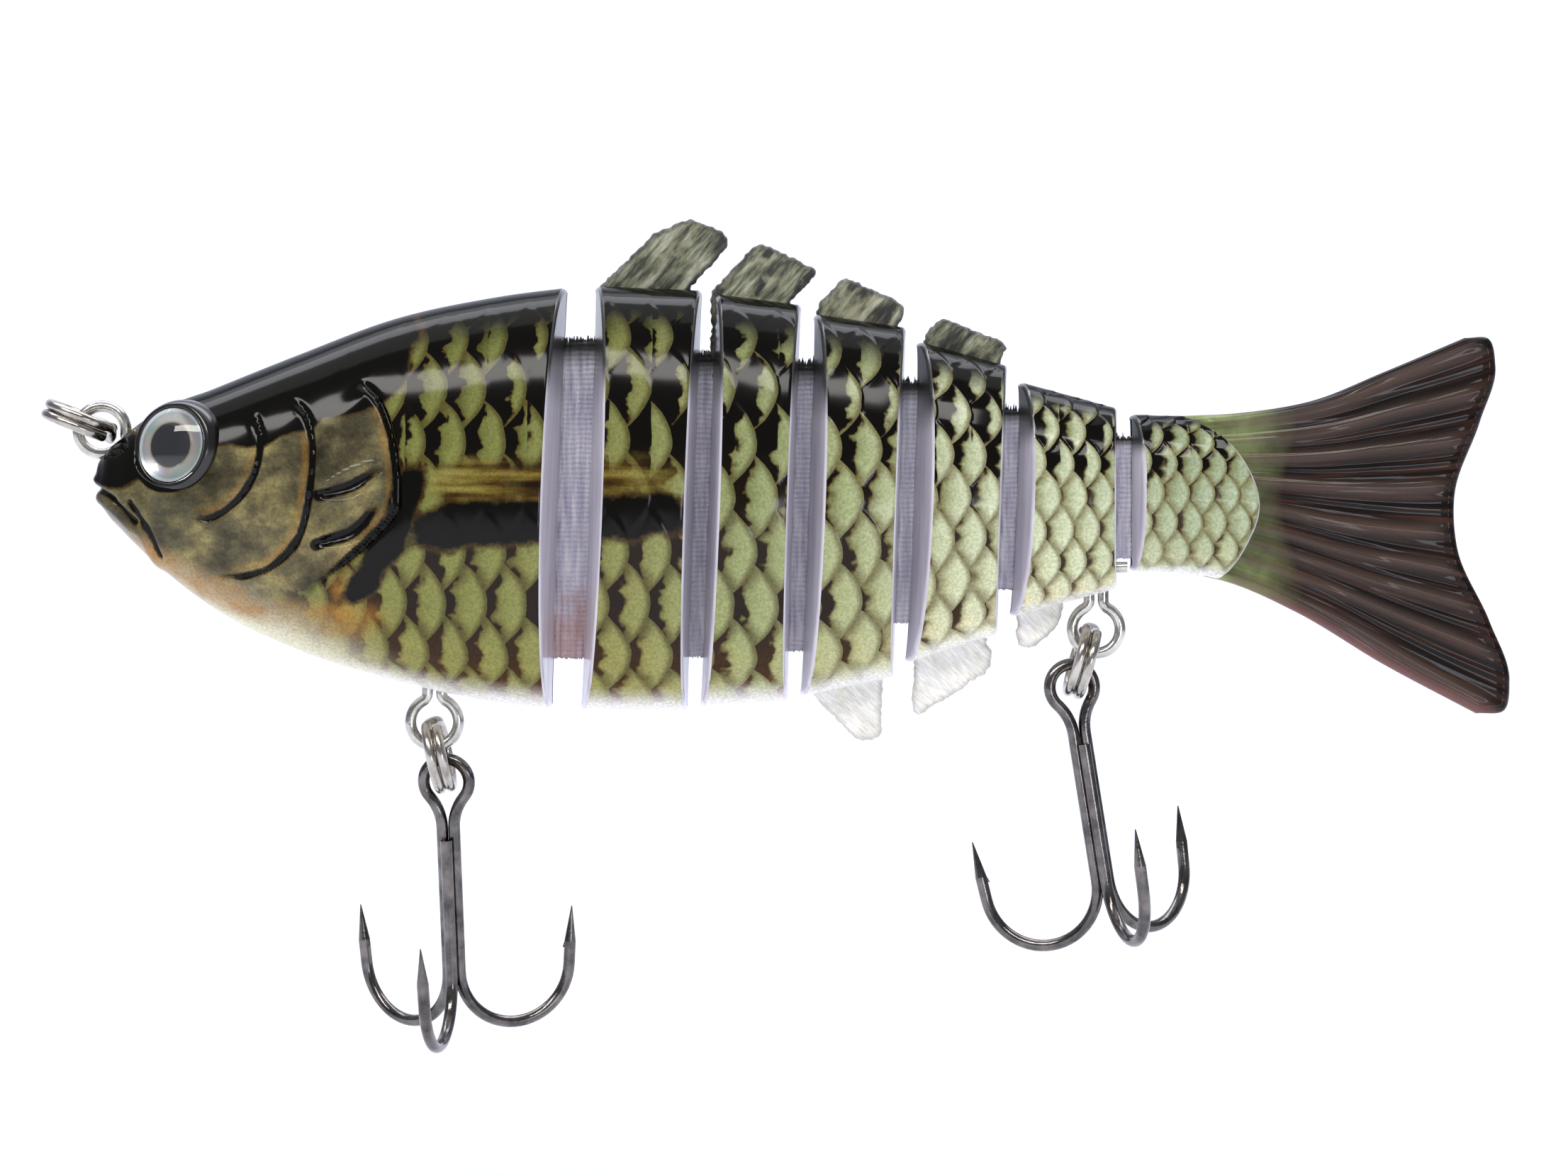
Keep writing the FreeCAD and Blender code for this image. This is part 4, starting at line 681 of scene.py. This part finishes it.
PRINT = printed_abs()
MILKY = milky_abs()
WEB = nylon_sheet()
BACK_FIN = fin_cloth("nylon_sheet_printed_back_fin", True)
BELLY_FIN = fin_cloth("nylon_sheet_bare_belly_fin", False)
BLADE = tail_plastic()
BRIGHT = wire_steel("stainless_wire_bright_drawn", "#a9a59c", "#d6d3cc", 0.16)
RING_STEEL = wire_steel("stainless_split_ring_nickel", "#98928a", "#c6c1b8", 0.17)
HOOK_STEEL = wire_steel("carbon_steel_hook_black_nickel", "#4e4b4a", "#7d7875", 0.14)
LEAD = wire_steel("steel_ballast_plain", "#6b6b6d", "#8b8b8d", 0.4)
DOME = clear_dome()

# ---- printed shells ---------------------------------------------------------
ROUND_POINTS = 178          # round half the body, from the back to the belly
LENGTH_STEP = 0.17
END_STEP = 0.045            # near a rounded end
WALL_ROWS = 10
CROWN = 0.15                # of a body segment, outwards in its middle
FILM_STOP = 0.20            # the printed film stops this far before the end
FAR = 9.0                   # longer than any end treatment


def spaced(length, step, end_step):
    """Shares from 0 to 1 along a length, closer together near both ends."""
    inner = np.linspace(0, 1, max(int(length / step), 3) + 1)
    near = np.arange(0, 0.45, end_step) / length
    return np.unique(np.round(np.concatenate([inner, near, 1 - near]), 6))


def dome_rear(z):
    """x of the tail root's rounded rear edge at height z."""
    line = curve_points([(76.2, 1.3), (79.8, -0.85), (82.0, -5.6), (80.8, -8.7), (79.2, -10.8)])
    return np.interp(z, line[::-1, 1], line[::-1, 0])


def eye_frame(side):
    """The eye's seat and the way it looks, in millimetres."""
    turn, tilt = math.radians(24), math.radians(8)
    axis = Vector((-math.sin(turn), side * math.cos(turn) * math.cos(tilt), math.cos(turn) * math.sin(tilt)))
    return np.array([5.9, side * 4.6, -1.3]), np.array(axis.normalized())


def tuck(gap):
    """How far the skin is drawn in, at a distance from an end that is rounded over."""
    gap = np.clip(gap, 0, EDGE_ROUND)
    return EDGE_ROUND - np.sqrt(np.maximum(EDGE_ROUND**2 - (EDGE_ROUND - gap) ** 2, 0))


def shell_skin(piece, label):
    """The outside of one flank with its scales, then its rounded ends and its bare end faces."""
    side = SIDES[label]
    table = {"head": HEAD, "tail": TAIL}.get(piece) or SEGMENTS[piece]
    front_bevel, rear_bevel, front_lean, rear_lean = ENDS[piece]
    x0 = table[0][0]
    x1 = {"head": HEAD_REAR, "tail": 82.0}.get(piece) or table[-1][0]
    a = np.linspace(0, math.pi, ROUND_POINTS)[None, :]
    s = spaced(x1 - x0, LENGTH_STEP, END_STEP)[:, None]
    crown = 0.0 if piece in ("head", "tail") else CROWN

    def edges(y, z, wide):
        first = x0 + front_bevel * y / wide + (z - MID_Z) * math.tan(math.radians(front_lean))
        last = x1 - rear_bevel * y / wide + (z - MID_Z) * math.tan(math.radians(rear_lean))
        if piece == "head":
            first = np.full(y.shape, x0)
        if piece == "tail":
            last = dome_rear(z)
        return first, last

    x = x0 + s * (x1 - x0) + 0 * a
    hump = crown * np.sin(math.pi * s)
    for _ in range(2):
        y, z = skin(table, x, a, hump)
        first, last = edges(y, z, through(table, x, 3))
        x = first + s * (last - first)
    y, z = skin(table, x, a, hump)
    p = np.stack([x, y, z], 2)
    out = normals_of(p)
    from_middle = np.stack([0 * y, y + 0.01, z - (z[:, :1] + z[:, -1:]) / 2], 2)
    out *= np.sign(np.sum(out * from_middle, axis=2))[..., None]
    step = np.linalg.norm(np.diff(p, axis=1), axis=2)
    girth = np.concatenate([np.zeros((len(s), 1)), np.cumsum(step, axis=1)], 1)
    share = girth / girth[:, -1:]
    u, v = lattice(x, girth - girth[:, [ROUND_POINTS // 2 - 1]])
    v = v + {"left": 0.0, "right": 0.37}[label]
    # Scales rise towards their own edge and drop to the next one behind.
    behind, own = scale_cells(u, v)
    rise = behind / np.maximum(behind + own, 1e-6)
    lift = by_x(SCALE_RELIEF, x) * (rise * smooth(own, -0.02, 0.10) - 0.35) * smooth(share, 0.02, 0.08)
    lift *= smooth(share, 1.0, 0.93)
    # A low ridge runs along the lower flank, and a shallow groove marks the seam of the two shells.
    ridge = 0.16 * np.exp(-((z + 15.4 + 0.04 * (x - 20)) / 0.55) ** 2) * smooth(x, 17, 23) * smooth(x, 53,
                                                                                                    46)
    lift = lift + ridge - 0.10 * np.exp(-(y / 0.22) ** 2)
    face, ink, ochre_and_painted_highlight, band = np.zeros((4, *x.shape))
    if piece in ("head", "segment_1"):
        face, ink, ochre_and_painted_highlight, band = face_print(x, z)
    if piece == "head":
        relief = face_relief(x, z)
        lift = lift + relief * smooth(share, 0.0, 0.06) * smooth(share, 1.0, 0.95)
        lift = lift * (1 - 0.9 * face) + relief * 0.9 * face
    clear_of_ends = np.minimum(last - x, (x - first) if piece != "head" else FAR)
    pull = tuck(last - x)
    if piece != "head":
        pull = np.maximum(pull, tuck(x - first))
    p = p + out * (lift * smooth(clear_of_ends, 0.0, 0.5) - pull)[..., None]
    p[..., 1] = side * np.maximum(p[..., 1], 0.0)
    if piece == "head":
        # The skin is pressed in where the eye sits, and black round it.
        seat, look = eye_frame(side)
        rel = p - seat
        height = rel @ look
        ring = np.linalg.norm(rel - height[..., None] * look, axis=2)
        outer_side = height > -1.5
        sunk = smooth(ring, 2.95, 2.72) * outer_side
        p = p - look * (np.maximum(height + 0.12, 0) * sunk)[..., None]
        ink = np.maximum(ink, smooth(ring, 3.6, 3.1) * outer_side * 0.9)
    rows, columns = x.shape
    points = p.reshape(-1, 3)
    faces = [grid_faces(rows, columns, side > 0)]
    picks = [np.where(clear_of_ends[:-1, :-1].ravel() < FILM_STOP, 1, 0)]
    uv_lattice, uv_girth = np.stack([u, v], 2).reshape(-1, 2), np.stack([x, share], 2).reshape(-1, 2)
    fields = {"face": face.ravel(), "ink": ink.ravel(), "ochre_and_painted_highlight": ochre_and_painted_highlight.ravel(), "band": band.ravel()}
    # Bare end faces, from the rounded rim in to the sheet.
    for at_rear in (False, True):
        if piece == "head" and not at_rear:
            continue
        end = -1 if at_rear else 0
        rim = p[end]
        half = np.abs(rim[:, 1])
        domed = piece == "tail" and at_rear
        inner = np.minimum(half, 0.0 if domed else TAIL_SLOT if piece == "tail" else SLOT)
        wide = half[None] + np.linspace(0, 1, WALL_ROWS)[:, None] * (inner - half)[None]
        wall = np.repeat(rim[None], WALL_ROWS, 0)
        if not domed:
            bevel = -rear_bevel if at_rear else front_bevel
            wall[..., 0] = rim[None, :, 0] - bevel * (half[None] - wide) / table[end][3]
        wall[..., 1] = side * wide
        faces.append(grid_faces(WALL_ROWS, columns, (side > 0) == at_rear, len(points)))
        points = np.concatenate([points, wall.reshape(-1, 3)])
        picks.append(np.ones((WALL_ROWS - 1) * (columns - 1), int))
        uv_lattice = np.concatenate([uv_lattice, np.tile(np.stack([u[end], v[end]], 1), (WALL_ROWS, 1))])
        uv_girth = np.concatenate([uv_girth, np.tile(np.stack([x[end], share[end]], 1), (WALL_ROWS, 1))])
        for key in fields:
            fields[key] = np.concatenate([fields[key], np.zeros(WALL_ROWS * columns)])
    obj = make_mesh(f"{piece}_{label}_skin", points, np.concatenate(faces), [PRINT, MILKY],
                    np.concatenate(picks), {"lattice": uv_lattice, "girth": uv_girth}, fields)
    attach(obj, piece)
    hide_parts(f"{piece}_{label}_shell")


for piece in CHAIN:
    for label in SIDES:
        shell_skin(piece, label)


# ---- eyes -------------------------------------------------------------------
def eye_socket(label):
    """The glossy black rim that stands round each eye."""
    seat, look = eye_frame(SIDES[label])
    across = np.cross(look, (0, 0, 1.0))
    across /= np.linalg.norm(across)
    up = np.cross(across, look)
    # Distance from the eye's axis, and height along it.
    profile = [(2.64, -0.3), (2.64, 0.22), (2.66, 0.34), (2.72, 0.41), (2.82, 0.44), (2.94, 0.42),
               (3.06, 0.32),
               (3.20, 0.12), (3.34, -0.2), (3.42, -0.7)]
    turns = np.linspace(0, 2 * math.pi, 97)[:, None]
    # The outer slope, past the profile's highest point, is a little uneven.
    uneven = 0.05 * np.sin(3 * turns + 1) * (np.arange(len(profile)) > 4)[None, :]
    r = np.array([q[0] for q in profile])[None, :] + uneven
    t = np.array([q[1] for q in profile])[None, :] + 0 * turns
    p = seat + (r * np.cos(turns))[..., None] * across + (r * np.sin(turns))[..., None] * up
    p = p + t[..., None] * look
    faces = grid_faces(len(turns), len(profile), True)
    obj = make_mesh(f"{label}_eye_socket_rim", p.reshape(-1, 3), faces, [SOCKET])
    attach(obj, "head")


def socket_lacquer():
    """Painted socket rim: thick black lacquer pooled round the eye, very glossy."""
    material, tree, principled = new_material(
        "abs_painted_black_socket", Roughness=0.22, IOR=1.5, Coat_Weight=0.3, Coat_Roughness=0.1,
    )
    at = add(tree, "TexCoord").outputs["Object"]
    cloud = add(tree, "TexNoise", {"Vector": at, "Scale": 600.0, "Detail": 3.0})
    tone = add(tree, "ValToRGB", {0: cloud})
    set_stops(tone, [(0.35, "#030302"), (0.7, "#0d0a06")])
    tree.links.new(tone.outputs[0], principled.inputs["Base Color"])
    bump = add(tree, "Bump", {"Strength": 0.1, "Distance": 0.0001, "Height": cloud})
    tree.links.new(bump.outputs[0], principled.inputs["Normal"])
    return material


SOCKET = socket_lacquer()
for label in SIDES:
    eye_socket(label)


# ---- woven web in the gaps --------------------------------------------------
CORD_PITCH = 0.42
WEB_REACH = 3.0             # each way from the hinge axis, into the shells' slots


def web(number):
    """The sheet where it shows in a gap: cords up and down, waved a little, with frayed ends."""
    axis_x, (top, bottom) = GAP_AXES[number - 1], GAP_HEIGHTS[number - 1]
    lean = math.tan(math.radians(2.0 if number < 6 else 0.0))
    half = WEB_REACH if number > 1 else WEB_REACH + 0.2
    columns, rows = int(half * 2 / 0.05) + 1, int((top - bottom) / 0.30) + 1
    across = np.linspace(-half, half, columns)[None, :]
    share = np.linspace(0, 1, rows)[:, None]
    z = bottom + share * (top - bottom) + 0 * across
    drift = 0.05 * np.sin(z * 1.9 + across * 3) + 0.03 * rng.standard_normal((rows, columns)).cumsum(0) / 6
    cord = np.abs(np.cos(math.pi * (across + drift) / CORD_PITCH))
    thick = 0.13 + 0.13 * cord + 0.015 * rng.standard_normal((rows, columns))
    thick = thick * np.sqrt(np.clip(1 - np.abs(2 * share - 1) ** 24, 0, 1))
    x = axis_x + across + (z - MID_Z) * lean
    fray = 0.16 * rng.standard_normal((1, columns)) * (share > 0.98)
    z = z + (fray - 0.2 * rng.random((1, columns)) * (share < 0.02))
    near, far = np.stack([x, -thick, z], 2), np.stack([x, thick, z], 2)
    points = np.concatenate([near.reshape(-1, 3), far.reshape(-1, 3)])
    half_count = rows * columns
    faces = [grid_faces(rows, columns), grid_faces(rows, columns, True, half_count)]
    # A band of faces round the border joins the two sides.
    border = np.concatenate([
        np.arange(columns), np.arange(1, rows) * columns + columns - 1,
        (rows - 1) * columns + np.arange(columns - 2, -1, -1), np.arange(rows - 2, 0, -1) * columns,
    ])
    after = np.roll(border, -1)
    faces.append(np.stack([border, border + half_count, after + half_count, after], 1))
    stain = smooth(share, 0.42, 0.03) * (1.0 if number == 1 else 0.35) + 0 * across
    fields = {"height": np.tile((share + 0 * across).ravel(), 2), "stain": np.tile(stain.ravel(), 2)}
    obj = make_mesh(f"web_{number}", points, np.concatenate(faces), [WEB], fields=fields)
    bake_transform(obj)
    if number == 1:
        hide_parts("sheet_head")
    if number == 6:
        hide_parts("sheet_tail")


for number in range(1, 7):
    web(number)


# ---- fins -------------------------------------------------------------------
DORSAL_FINS = {
    "segment_1": [(0.9, 0.1), (4.9, 3.9), (7.2, 4.8), (9.6, 3.9), (10.0, 3.0), (7.2, -0.2)],
    "segment_2": [(0.2, 0.1), (3.3, 3.4), (3.8, 3.6), (7.6, 1.8), (7.6, 1.3), (5.8, -0.6)],
    "segment_3": [(0.6, 0.0), (0.8, 0.7), (2.4, 2.4), (3.0, 2.4), (6.3, 0.9), (7.0, 0.1), (6.4, -0.8)],
    "segment_4": [(0.8, -0.3), (1.0, 0.6), (1.8, 1.4), (2.4, 1.5), (6.3, -0.1), (6.7, -0.5), (6.2, -1.9)],
}
ANAL_FINS = {
    "segment_3": [(0.2, -0.1), (3.5, 3.2), (4.5, 3.2), (5.2, 2.9), (5.3, -1.0)],
    "segment_4": [(0.1, 0.2), (0.0, 3.5), (0.4, 3.8), (3.0, 2.3), (5.5, 0.6), (5.6, -0.8), (5.2, -1.4)],
    "segment_5": [(0.1, 0.1), (0.1, 2.0), (0.7, 2.3), (1.4, 2.1), (2.8, 1.0), (3.3, 0.0), (3.4, -0.7)],
}
FIN_ROOT = 6.5              # how far a fin reaches in between the shells


def across_edge(distance, radius):
    """Share of the full thickness at a distance in from an edge that is rounded to a radius."""
    return np.sqrt(np.clip(1 - (1 - np.clip(distance / radius, 0, 1)) ** 2, 0, 1))


def rounded(points, radius, step):
    """A closed outline with its corners rounded off and points at every step."""
    p = np.array(points, float)
    out = []
    for before, here, after in zip(np.roll(p, 1, 0), p, np.roll(p, -1, 0)):
        back, on = before - here, after - here
        r = min(radius, 0.45 * np.linalg.norm(back), 0.45 * np.linalg.norm(on))
        a, b = here + back / np.linalg.norm(back) * r, here + on / np.linalg.norm(on) * r
        out += [(1 - t) ** 2 * a + 2 * t * (1 - t) * here + t * t * b for t in np.linspace(0, 1, 6)]
    out = np.array(out + out[:1])
    run = np.concatenate([[0], np.cumsum(np.linalg.norm(np.diff(out, axis=0), axis=1))])
    s = np.arange(0, run[-1] - step / 2, step)
    return np.stack([np.interp(s, run, out[:, c]) for c in (0, 1)], 1)


def from_outline(loop, x, z):
    """Distance from points to a closed outline."""
    best = np.full(np.shape(x), 1e9)
    for a, b in zip(loop, np.roll(loop, -1, 0)):
        ab = b - a
        t = np.clip(((x - a[0]) * ab[0] + (z - a[1]) * ab[1]) / max(ab @ ab, 1e-9), 0, 1)
        best = np.minimum(best, np.hypot(x - a[0] - t * ab[0], z - a[1] - t * ab[1]))
    return best


def fin(name, segment, outline, up, material):
    """A lobe of the sheet that stands out as a fin: thin, waved and ribbed, with uneven edges."""
    front_x, front_top, front_bottom, _ = SEGMENTS[segment][0]
    edge_z = front_top if up > 0 else front_bottom
    corners = [(front_x + dx, edge_z + up * dz) for dx, dz in outline]
    corners += [(corners[i][0], corners[i][1] - up * FIN_ROOT) for i in (-1, 0)]
    loop = rounded(corners, 0.45, 0.16)
    nudge = rng.standard_normal(len(loop))
    nudge = (nudge + np.roll(nudge, 1)) * 0.03
    normal = np.roll(loop, -1, 0) - np.roll(loop, 1, 0)
    normal = np.stack([normal[:, 1], -normal[:, 0]], 1) / np.linalg.norm(normal, axis=1, keepdims=True)
    loop = loop + normal * nudge[:, None]
    (x_low, z_low), (x_high, z_high) = loop.min(0), loop.max(0)
    gx, gz = np.meshgrid(np.arange(x_low, x_high, 0.2), np.arange(z_low, z_high, 0.2))
    gx = gx + 0.1 * (np.arange(gx.shape[0]) % 2)[:, None]
    gx, gz = gx.ravel(), gz.ravel()
    inside = np.zeros(len(gx), bool)
    for a, b in zip(loop, np.roll(loop, -1, 0)):
        meets = (b[0] - a[0]) * (gz - a[1]) / (b[1] - a[1] + 1e-12) + a[0]
        inside ^= ((a[1] > gz) != (b[1] > gz)) & (gx < meets)
    inside &= from_outline(loop, gx, gz) > 0.12
    flat = np.concatenate([loop, np.stack([gx[inside], gz[inside]], 1)])
    n = len(loop)
    edges = [(i, (i + 1) % n) for i in range(n)]
    verts, _, tris, *_ = delaunay_2d_cdt([Vector(q) for q in flat], edges, [], 1, 1e-6)
    q = np.array([tuple(w) for w in verts])
    tris = np.array([t for t in tris if len(t) == 3])
    depth = from_outline(loop, q[:, 0], q[:, 1])
    out = up * (q[:, 1] - edge_z)
    ray = 0.85 * q[:, 0] - 0.53 * up * q[:, 1]
    ribs = 0.035 * np.sin(ray * 2 * math.pi / 0.55 + 0.6 * np.sin(out))
    ribs = ribs + 0.02 * np.sin(ray * 2 * math.pi / 0.23)
    body = 0.30 - 0.10 * smooth(out, -1, 4)
    half = across_edge(depth, 0.28) * (body + ribs * smooth(depth, 0.1, 0.5))
    wave = 0.16 * np.sin(q[:, 0] * 0.9 + 0.5 * out) * smooth(out, -0.2, 3.0)
    # Points on the outline are shared by both sides; the rest have a partner on the far side.
    free = depth > 0.005
    index = np.arange(len(q))
    other = np.where(free, len(q) + np.cumsum(free) - 1, index)
    near = np.stack([q[:, 0], wave - half, q[:, 1]], 1)
    far = np.stack([q[:, 0], wave + half, q[:, 1]], 1)[free]
    a, b, c = q[tris[:, 0]], q[tris[:, 1]], q[tris[:, 2]]
    turn = (b[:, 0] - a[:, 0]) * (c[:, 1] - a[:, 1]) - (b[:, 1] - a[:, 1]) * (c[:, 0] - a[:, 0])
    tris = np.where((turn > 0)[:, None], tris, tris[:, ::-1])
    faces = np.concatenate([tris, other[tris][:, ::-1]])
    rim = smooth(depth, 0.42, 0.10)
    rim = np.concatenate([rim, rim[free]])
    obj = make_mesh(name, np.concatenate([near, far]), faces, [material], fields={"rim": rim})
    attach(obj, segment)
    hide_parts("sheet_" + segment)


for segment, outline in DORSAL_FINS.items():
    fin(segment.replace("segment", "back_fin"), segment, outline, 1, BACK_FIN)
for segment, outline in ANAL_FINS.items():
    fin(segment.replace("segment", "belly_fin"), segment, outline, -1, BELLY_FIN)


# ---- tail blade -------------------------------------------------------------
BLADE_UPPER = [(3.4, 1.0), (8.0, 1.25), (13.0, 2.1), (18.0, 4.1), (23.8, 6.55)]
BLADE_END = [(23.8, 6.55), (25.5, 6.5), (26.0, 4.6), (24.9, 0.6), (23.1, -4.6), (23.3, -8.4), (25.6, -13.6),
             (27.0, -17.8), (26.6, -19.9), (24.6, -20.1)]
BLADE_LOWER = [(3.4, -10.0), (7.0, -10.8), (11.8, -12.9), (18.0, -16.6), (24.6, -20.1)]
RAYS = 9


def tail_blade():
    """The forked blade: thin rays fan out from the root, between gently hollowed webs."""
    rows, columns = 170, 150
    shift = np.array([TAIL[0][0], 0.0])
    top, low = curve_points(BLADE_UPPER, rows) + shift, curve_points(BLADE_LOWER, rows) + shift
    end = curve_points(BLADE_END, columns) + shift
    root = top[0] + (low[0] - top[0]) * np.linspace(0, 1, columns)[:, None]
    u, v = np.linspace(0, 1, rows)[:, None, None], np.linspace(0, 1, columns)[None, :, None]
    flat = (1 - v) * top[:, None] + v * low[:, None] + (1 - u) * root[None] + u * end[None]
    flat -= (1 - u) * ((1 - v) * top[0] + v * low[0]) + u * ((1 - v) * top[-1] + v * low[-1])
    u, v = u[..., 0] + 0 * v[..., 0], v[..., 0] + 0 * u[..., 0]
    x, z = flat[..., 0], flat[..., 1]
    outline = np.concatenate([top, end[1:-1], low[::-1]])
    depth = from_outline(outline[::2], x, z)
    depth[0], depth[-1], depth[:, 0], depth[:, -1] = 0.6, 0, 0, 0
    half = 0.52 - 0.20 * smooth(x, 84, 97)
    ray = np.zeros(x.shape)
    tall = np.linalg.norm(flat[:, -1] - flat[:, 0], axis=1)[:, None]
    wide = 0.30 + 0.25 * u
    for k in range(RAYS):
        centre = 0.07 + 0.86 * k / (RAYS - 1) + 0.010 * math.sin(5.1 * k)
        ray = np.maximum(ray, np.exp(-((v - centre - 0.01 * np.sin(6 * u + k)) * tall / wide) ** 2))
    ray = ray * smooth(u, 0.05, 0.2) * smooth(u, 1.0, 0.9)
    fine = 0.020 * np.sin(v * 2 * math.pi * 34 + 2 * np.sin(5 * u))
    lip = 0.10 * np.exp(-((depth - 0.45) / 0.25) ** 2)
    thick = (half + 0.13 * ray + fine + lip - 0.06) * across_edge(depth, 0.5)
    near, far = np.stack([x, -thick, z], 2), np.stack([x, thick, z], 2)
    points = np.concatenate([near.reshape(-1, 3), far.reshape(-1, 3)])
    faces = np.concatenate([grid_faces(rows, columns), grid_faces(rows, columns, True, rows * columns)])
    pairs = np.tile(np.stack([u, v], 2).reshape(-1, 2), (2, 1))
    obj = make_mesh("forked_tail_blade", points, faces, [BLADE], uvs={"fan": pairs},
                    fields={"ray": np.tile(ray.ravel(), 2)})
    weld = obj.modifiers.new("weld", "WELD")
    weld.merge_threshold = 0.000001
    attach(obj, "tail")
    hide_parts("tail_blade")


tail_blade()


# ---- carried-over parts -----------------------------------------------------
def finish_part(node, material):
    """Puts one material in every slot of a CAD part."""
    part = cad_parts[node]
    if not part.material_slots:
        part.data.materials.append(material)
    for place in part.material_slots:
        place.material = material


for label, side in SIDES.items():
    seat, look = eye_frame(side)
    finish_part(f"eye_{label}_print", eye_foil(f"foil_printed_eye_{label}", seat, tuple(look)))
    finish_part(f"eye_{label}_dome", DOME)
for node in ("line_tie", "front_hook_hanger", "rear_hook_hanger"):
    finish_part(node, BRIGHT)
for node in ("line_split_ring", "front_split_ring", "rear_split_ring"):
    finish_part(node, RING_STEEL)
for end in ("front", "rear"):
    for wire in ("double", "third"):
        finish_part(f"{end}_treble_{wire}_wire", HOOK_STEEL)
for node in ("head_ballast", "segment_1_shot"):
    finish_part(node, LEAD)


# ---- stage, light and camera ------------------------------------------------
def paper():
    """Seamless paper sweep: matt, faintly blue-white, with a soft tooth."""
    material, tree, principled = new_material("paper_matt_pale", Roughness=0.85)
    at = add(tree, "TexCoord").outputs["Object"]
    tooth = add(tree, "TexNoise", {"Vector": at, "Scale": 900.0, "Detail": 3.0})
    tone = add(tree, "ValToRGB", {0: tooth})
    set_stops(tone, [(0.3, "#eceef6"), (0.7, "#f1f2f8")])
    tree.links.new(tone.outputs[0], principled.inputs["Base Color"])
    bump = add(tree, "Bump", {"Strength": 0.1, "Distance": 0.0001, "Height": tooth})
    tree.links.new(bump.outputs[0], principled.inputs["Normal"])
    return material


FLOOR_Z = -52
WALL_START, WALL_BEND = 700, 400


def sweep():
    """The floor, which curves up into a back wall well behind the lure."""
    line = [(-2600, FLOOR_Z), (400, FLOOR_Z), (WALL_START, FLOOR_Z)]
    for t in np.linspace(0.05, math.pi / 2, 24):
        line.append((WALL_START + WALL_BEND * math.sin(t), FLOOR_Z + WALL_BEND * (1 - math.cos(t))))
    line.append((WALL_START + WALL_BEND, 2600))
    points = [(x, y, z) for y, z in line for x in (-2600, 2700)]
    return make_mesh("paper_sweep", points, grid_faces(len(line), 2), [paper()])


sweep()


def soft_light(name, place, aim, size, watts, colour="#ffffff"):
    lamp = bpy.data.lights.new(name, "AREA")
    lamp.shape = "RECTANGLE"
    lamp.size, lamp.size_y = size
    lamp.energy = watts
    lamp.color = linear(colour)[:3]
    obj = bpy.data.objects.new(name, lamp)
    obj.location = place
    obj.rotation_euler = (Vector(aim) - Vector(place)).to_track_quat("-Z", "Y").to_euler()
    bpy.context.scene.collection.objects.link(obj)


MIDDLE = (0.048, 0.0, -0.010)
soft_light("top_softbox", (0.05, 0.05, 0.55), MIDDLE, (0.9, 0.5), 1.3)
soft_light("key_softbox", (-0.12, -0.56, 0.50), MIDDLE, (0.80, 0.14), 4.2, "#fffdf8")
soft_light("low_fill", (0.30, -0.62, -0.02), MIDDLE, (0.25, 0.06), 0.35, "#f4f7ff")
soft_light("wall_wash", (0.05, 0.30, 1.1), (0.05, 1.1, 0.0), (1.8, 0.5), 11.0, "#f1f4ff")
soft_light("floor_wash", (0.05, 0.35, 0.9), (0.05, 0.25, -0.05), (1.4, 0.5), 3.0, "#f4f6ff")
world = bpy.data.worlds.new("studio")
bpy.context.scene.world = world
world.use_nodes = True
background = world.node_tree.nodes["Background"]
background.inputs["Color"].default_value = linear("#e9edf8")
background.inputs["Strength"].default_value = 0.36
bpy.context.scene.view_settings.view_transform = "Standard"

lens = bpy.data.cameras.new("camera")
lens.lens = 84.1
lens.sensor_width = 36
lens.clip_start = 0.01
camera = bpy.data.objects.new("camera", lens)
camera.location = (0.0484, -0.260, -0.0112)
camera.rotation_euler = (math.pi / 2, 0, 0)
bpy.context.scene.collection.objects.link(camera)
bpy.context.scene.camera = camera
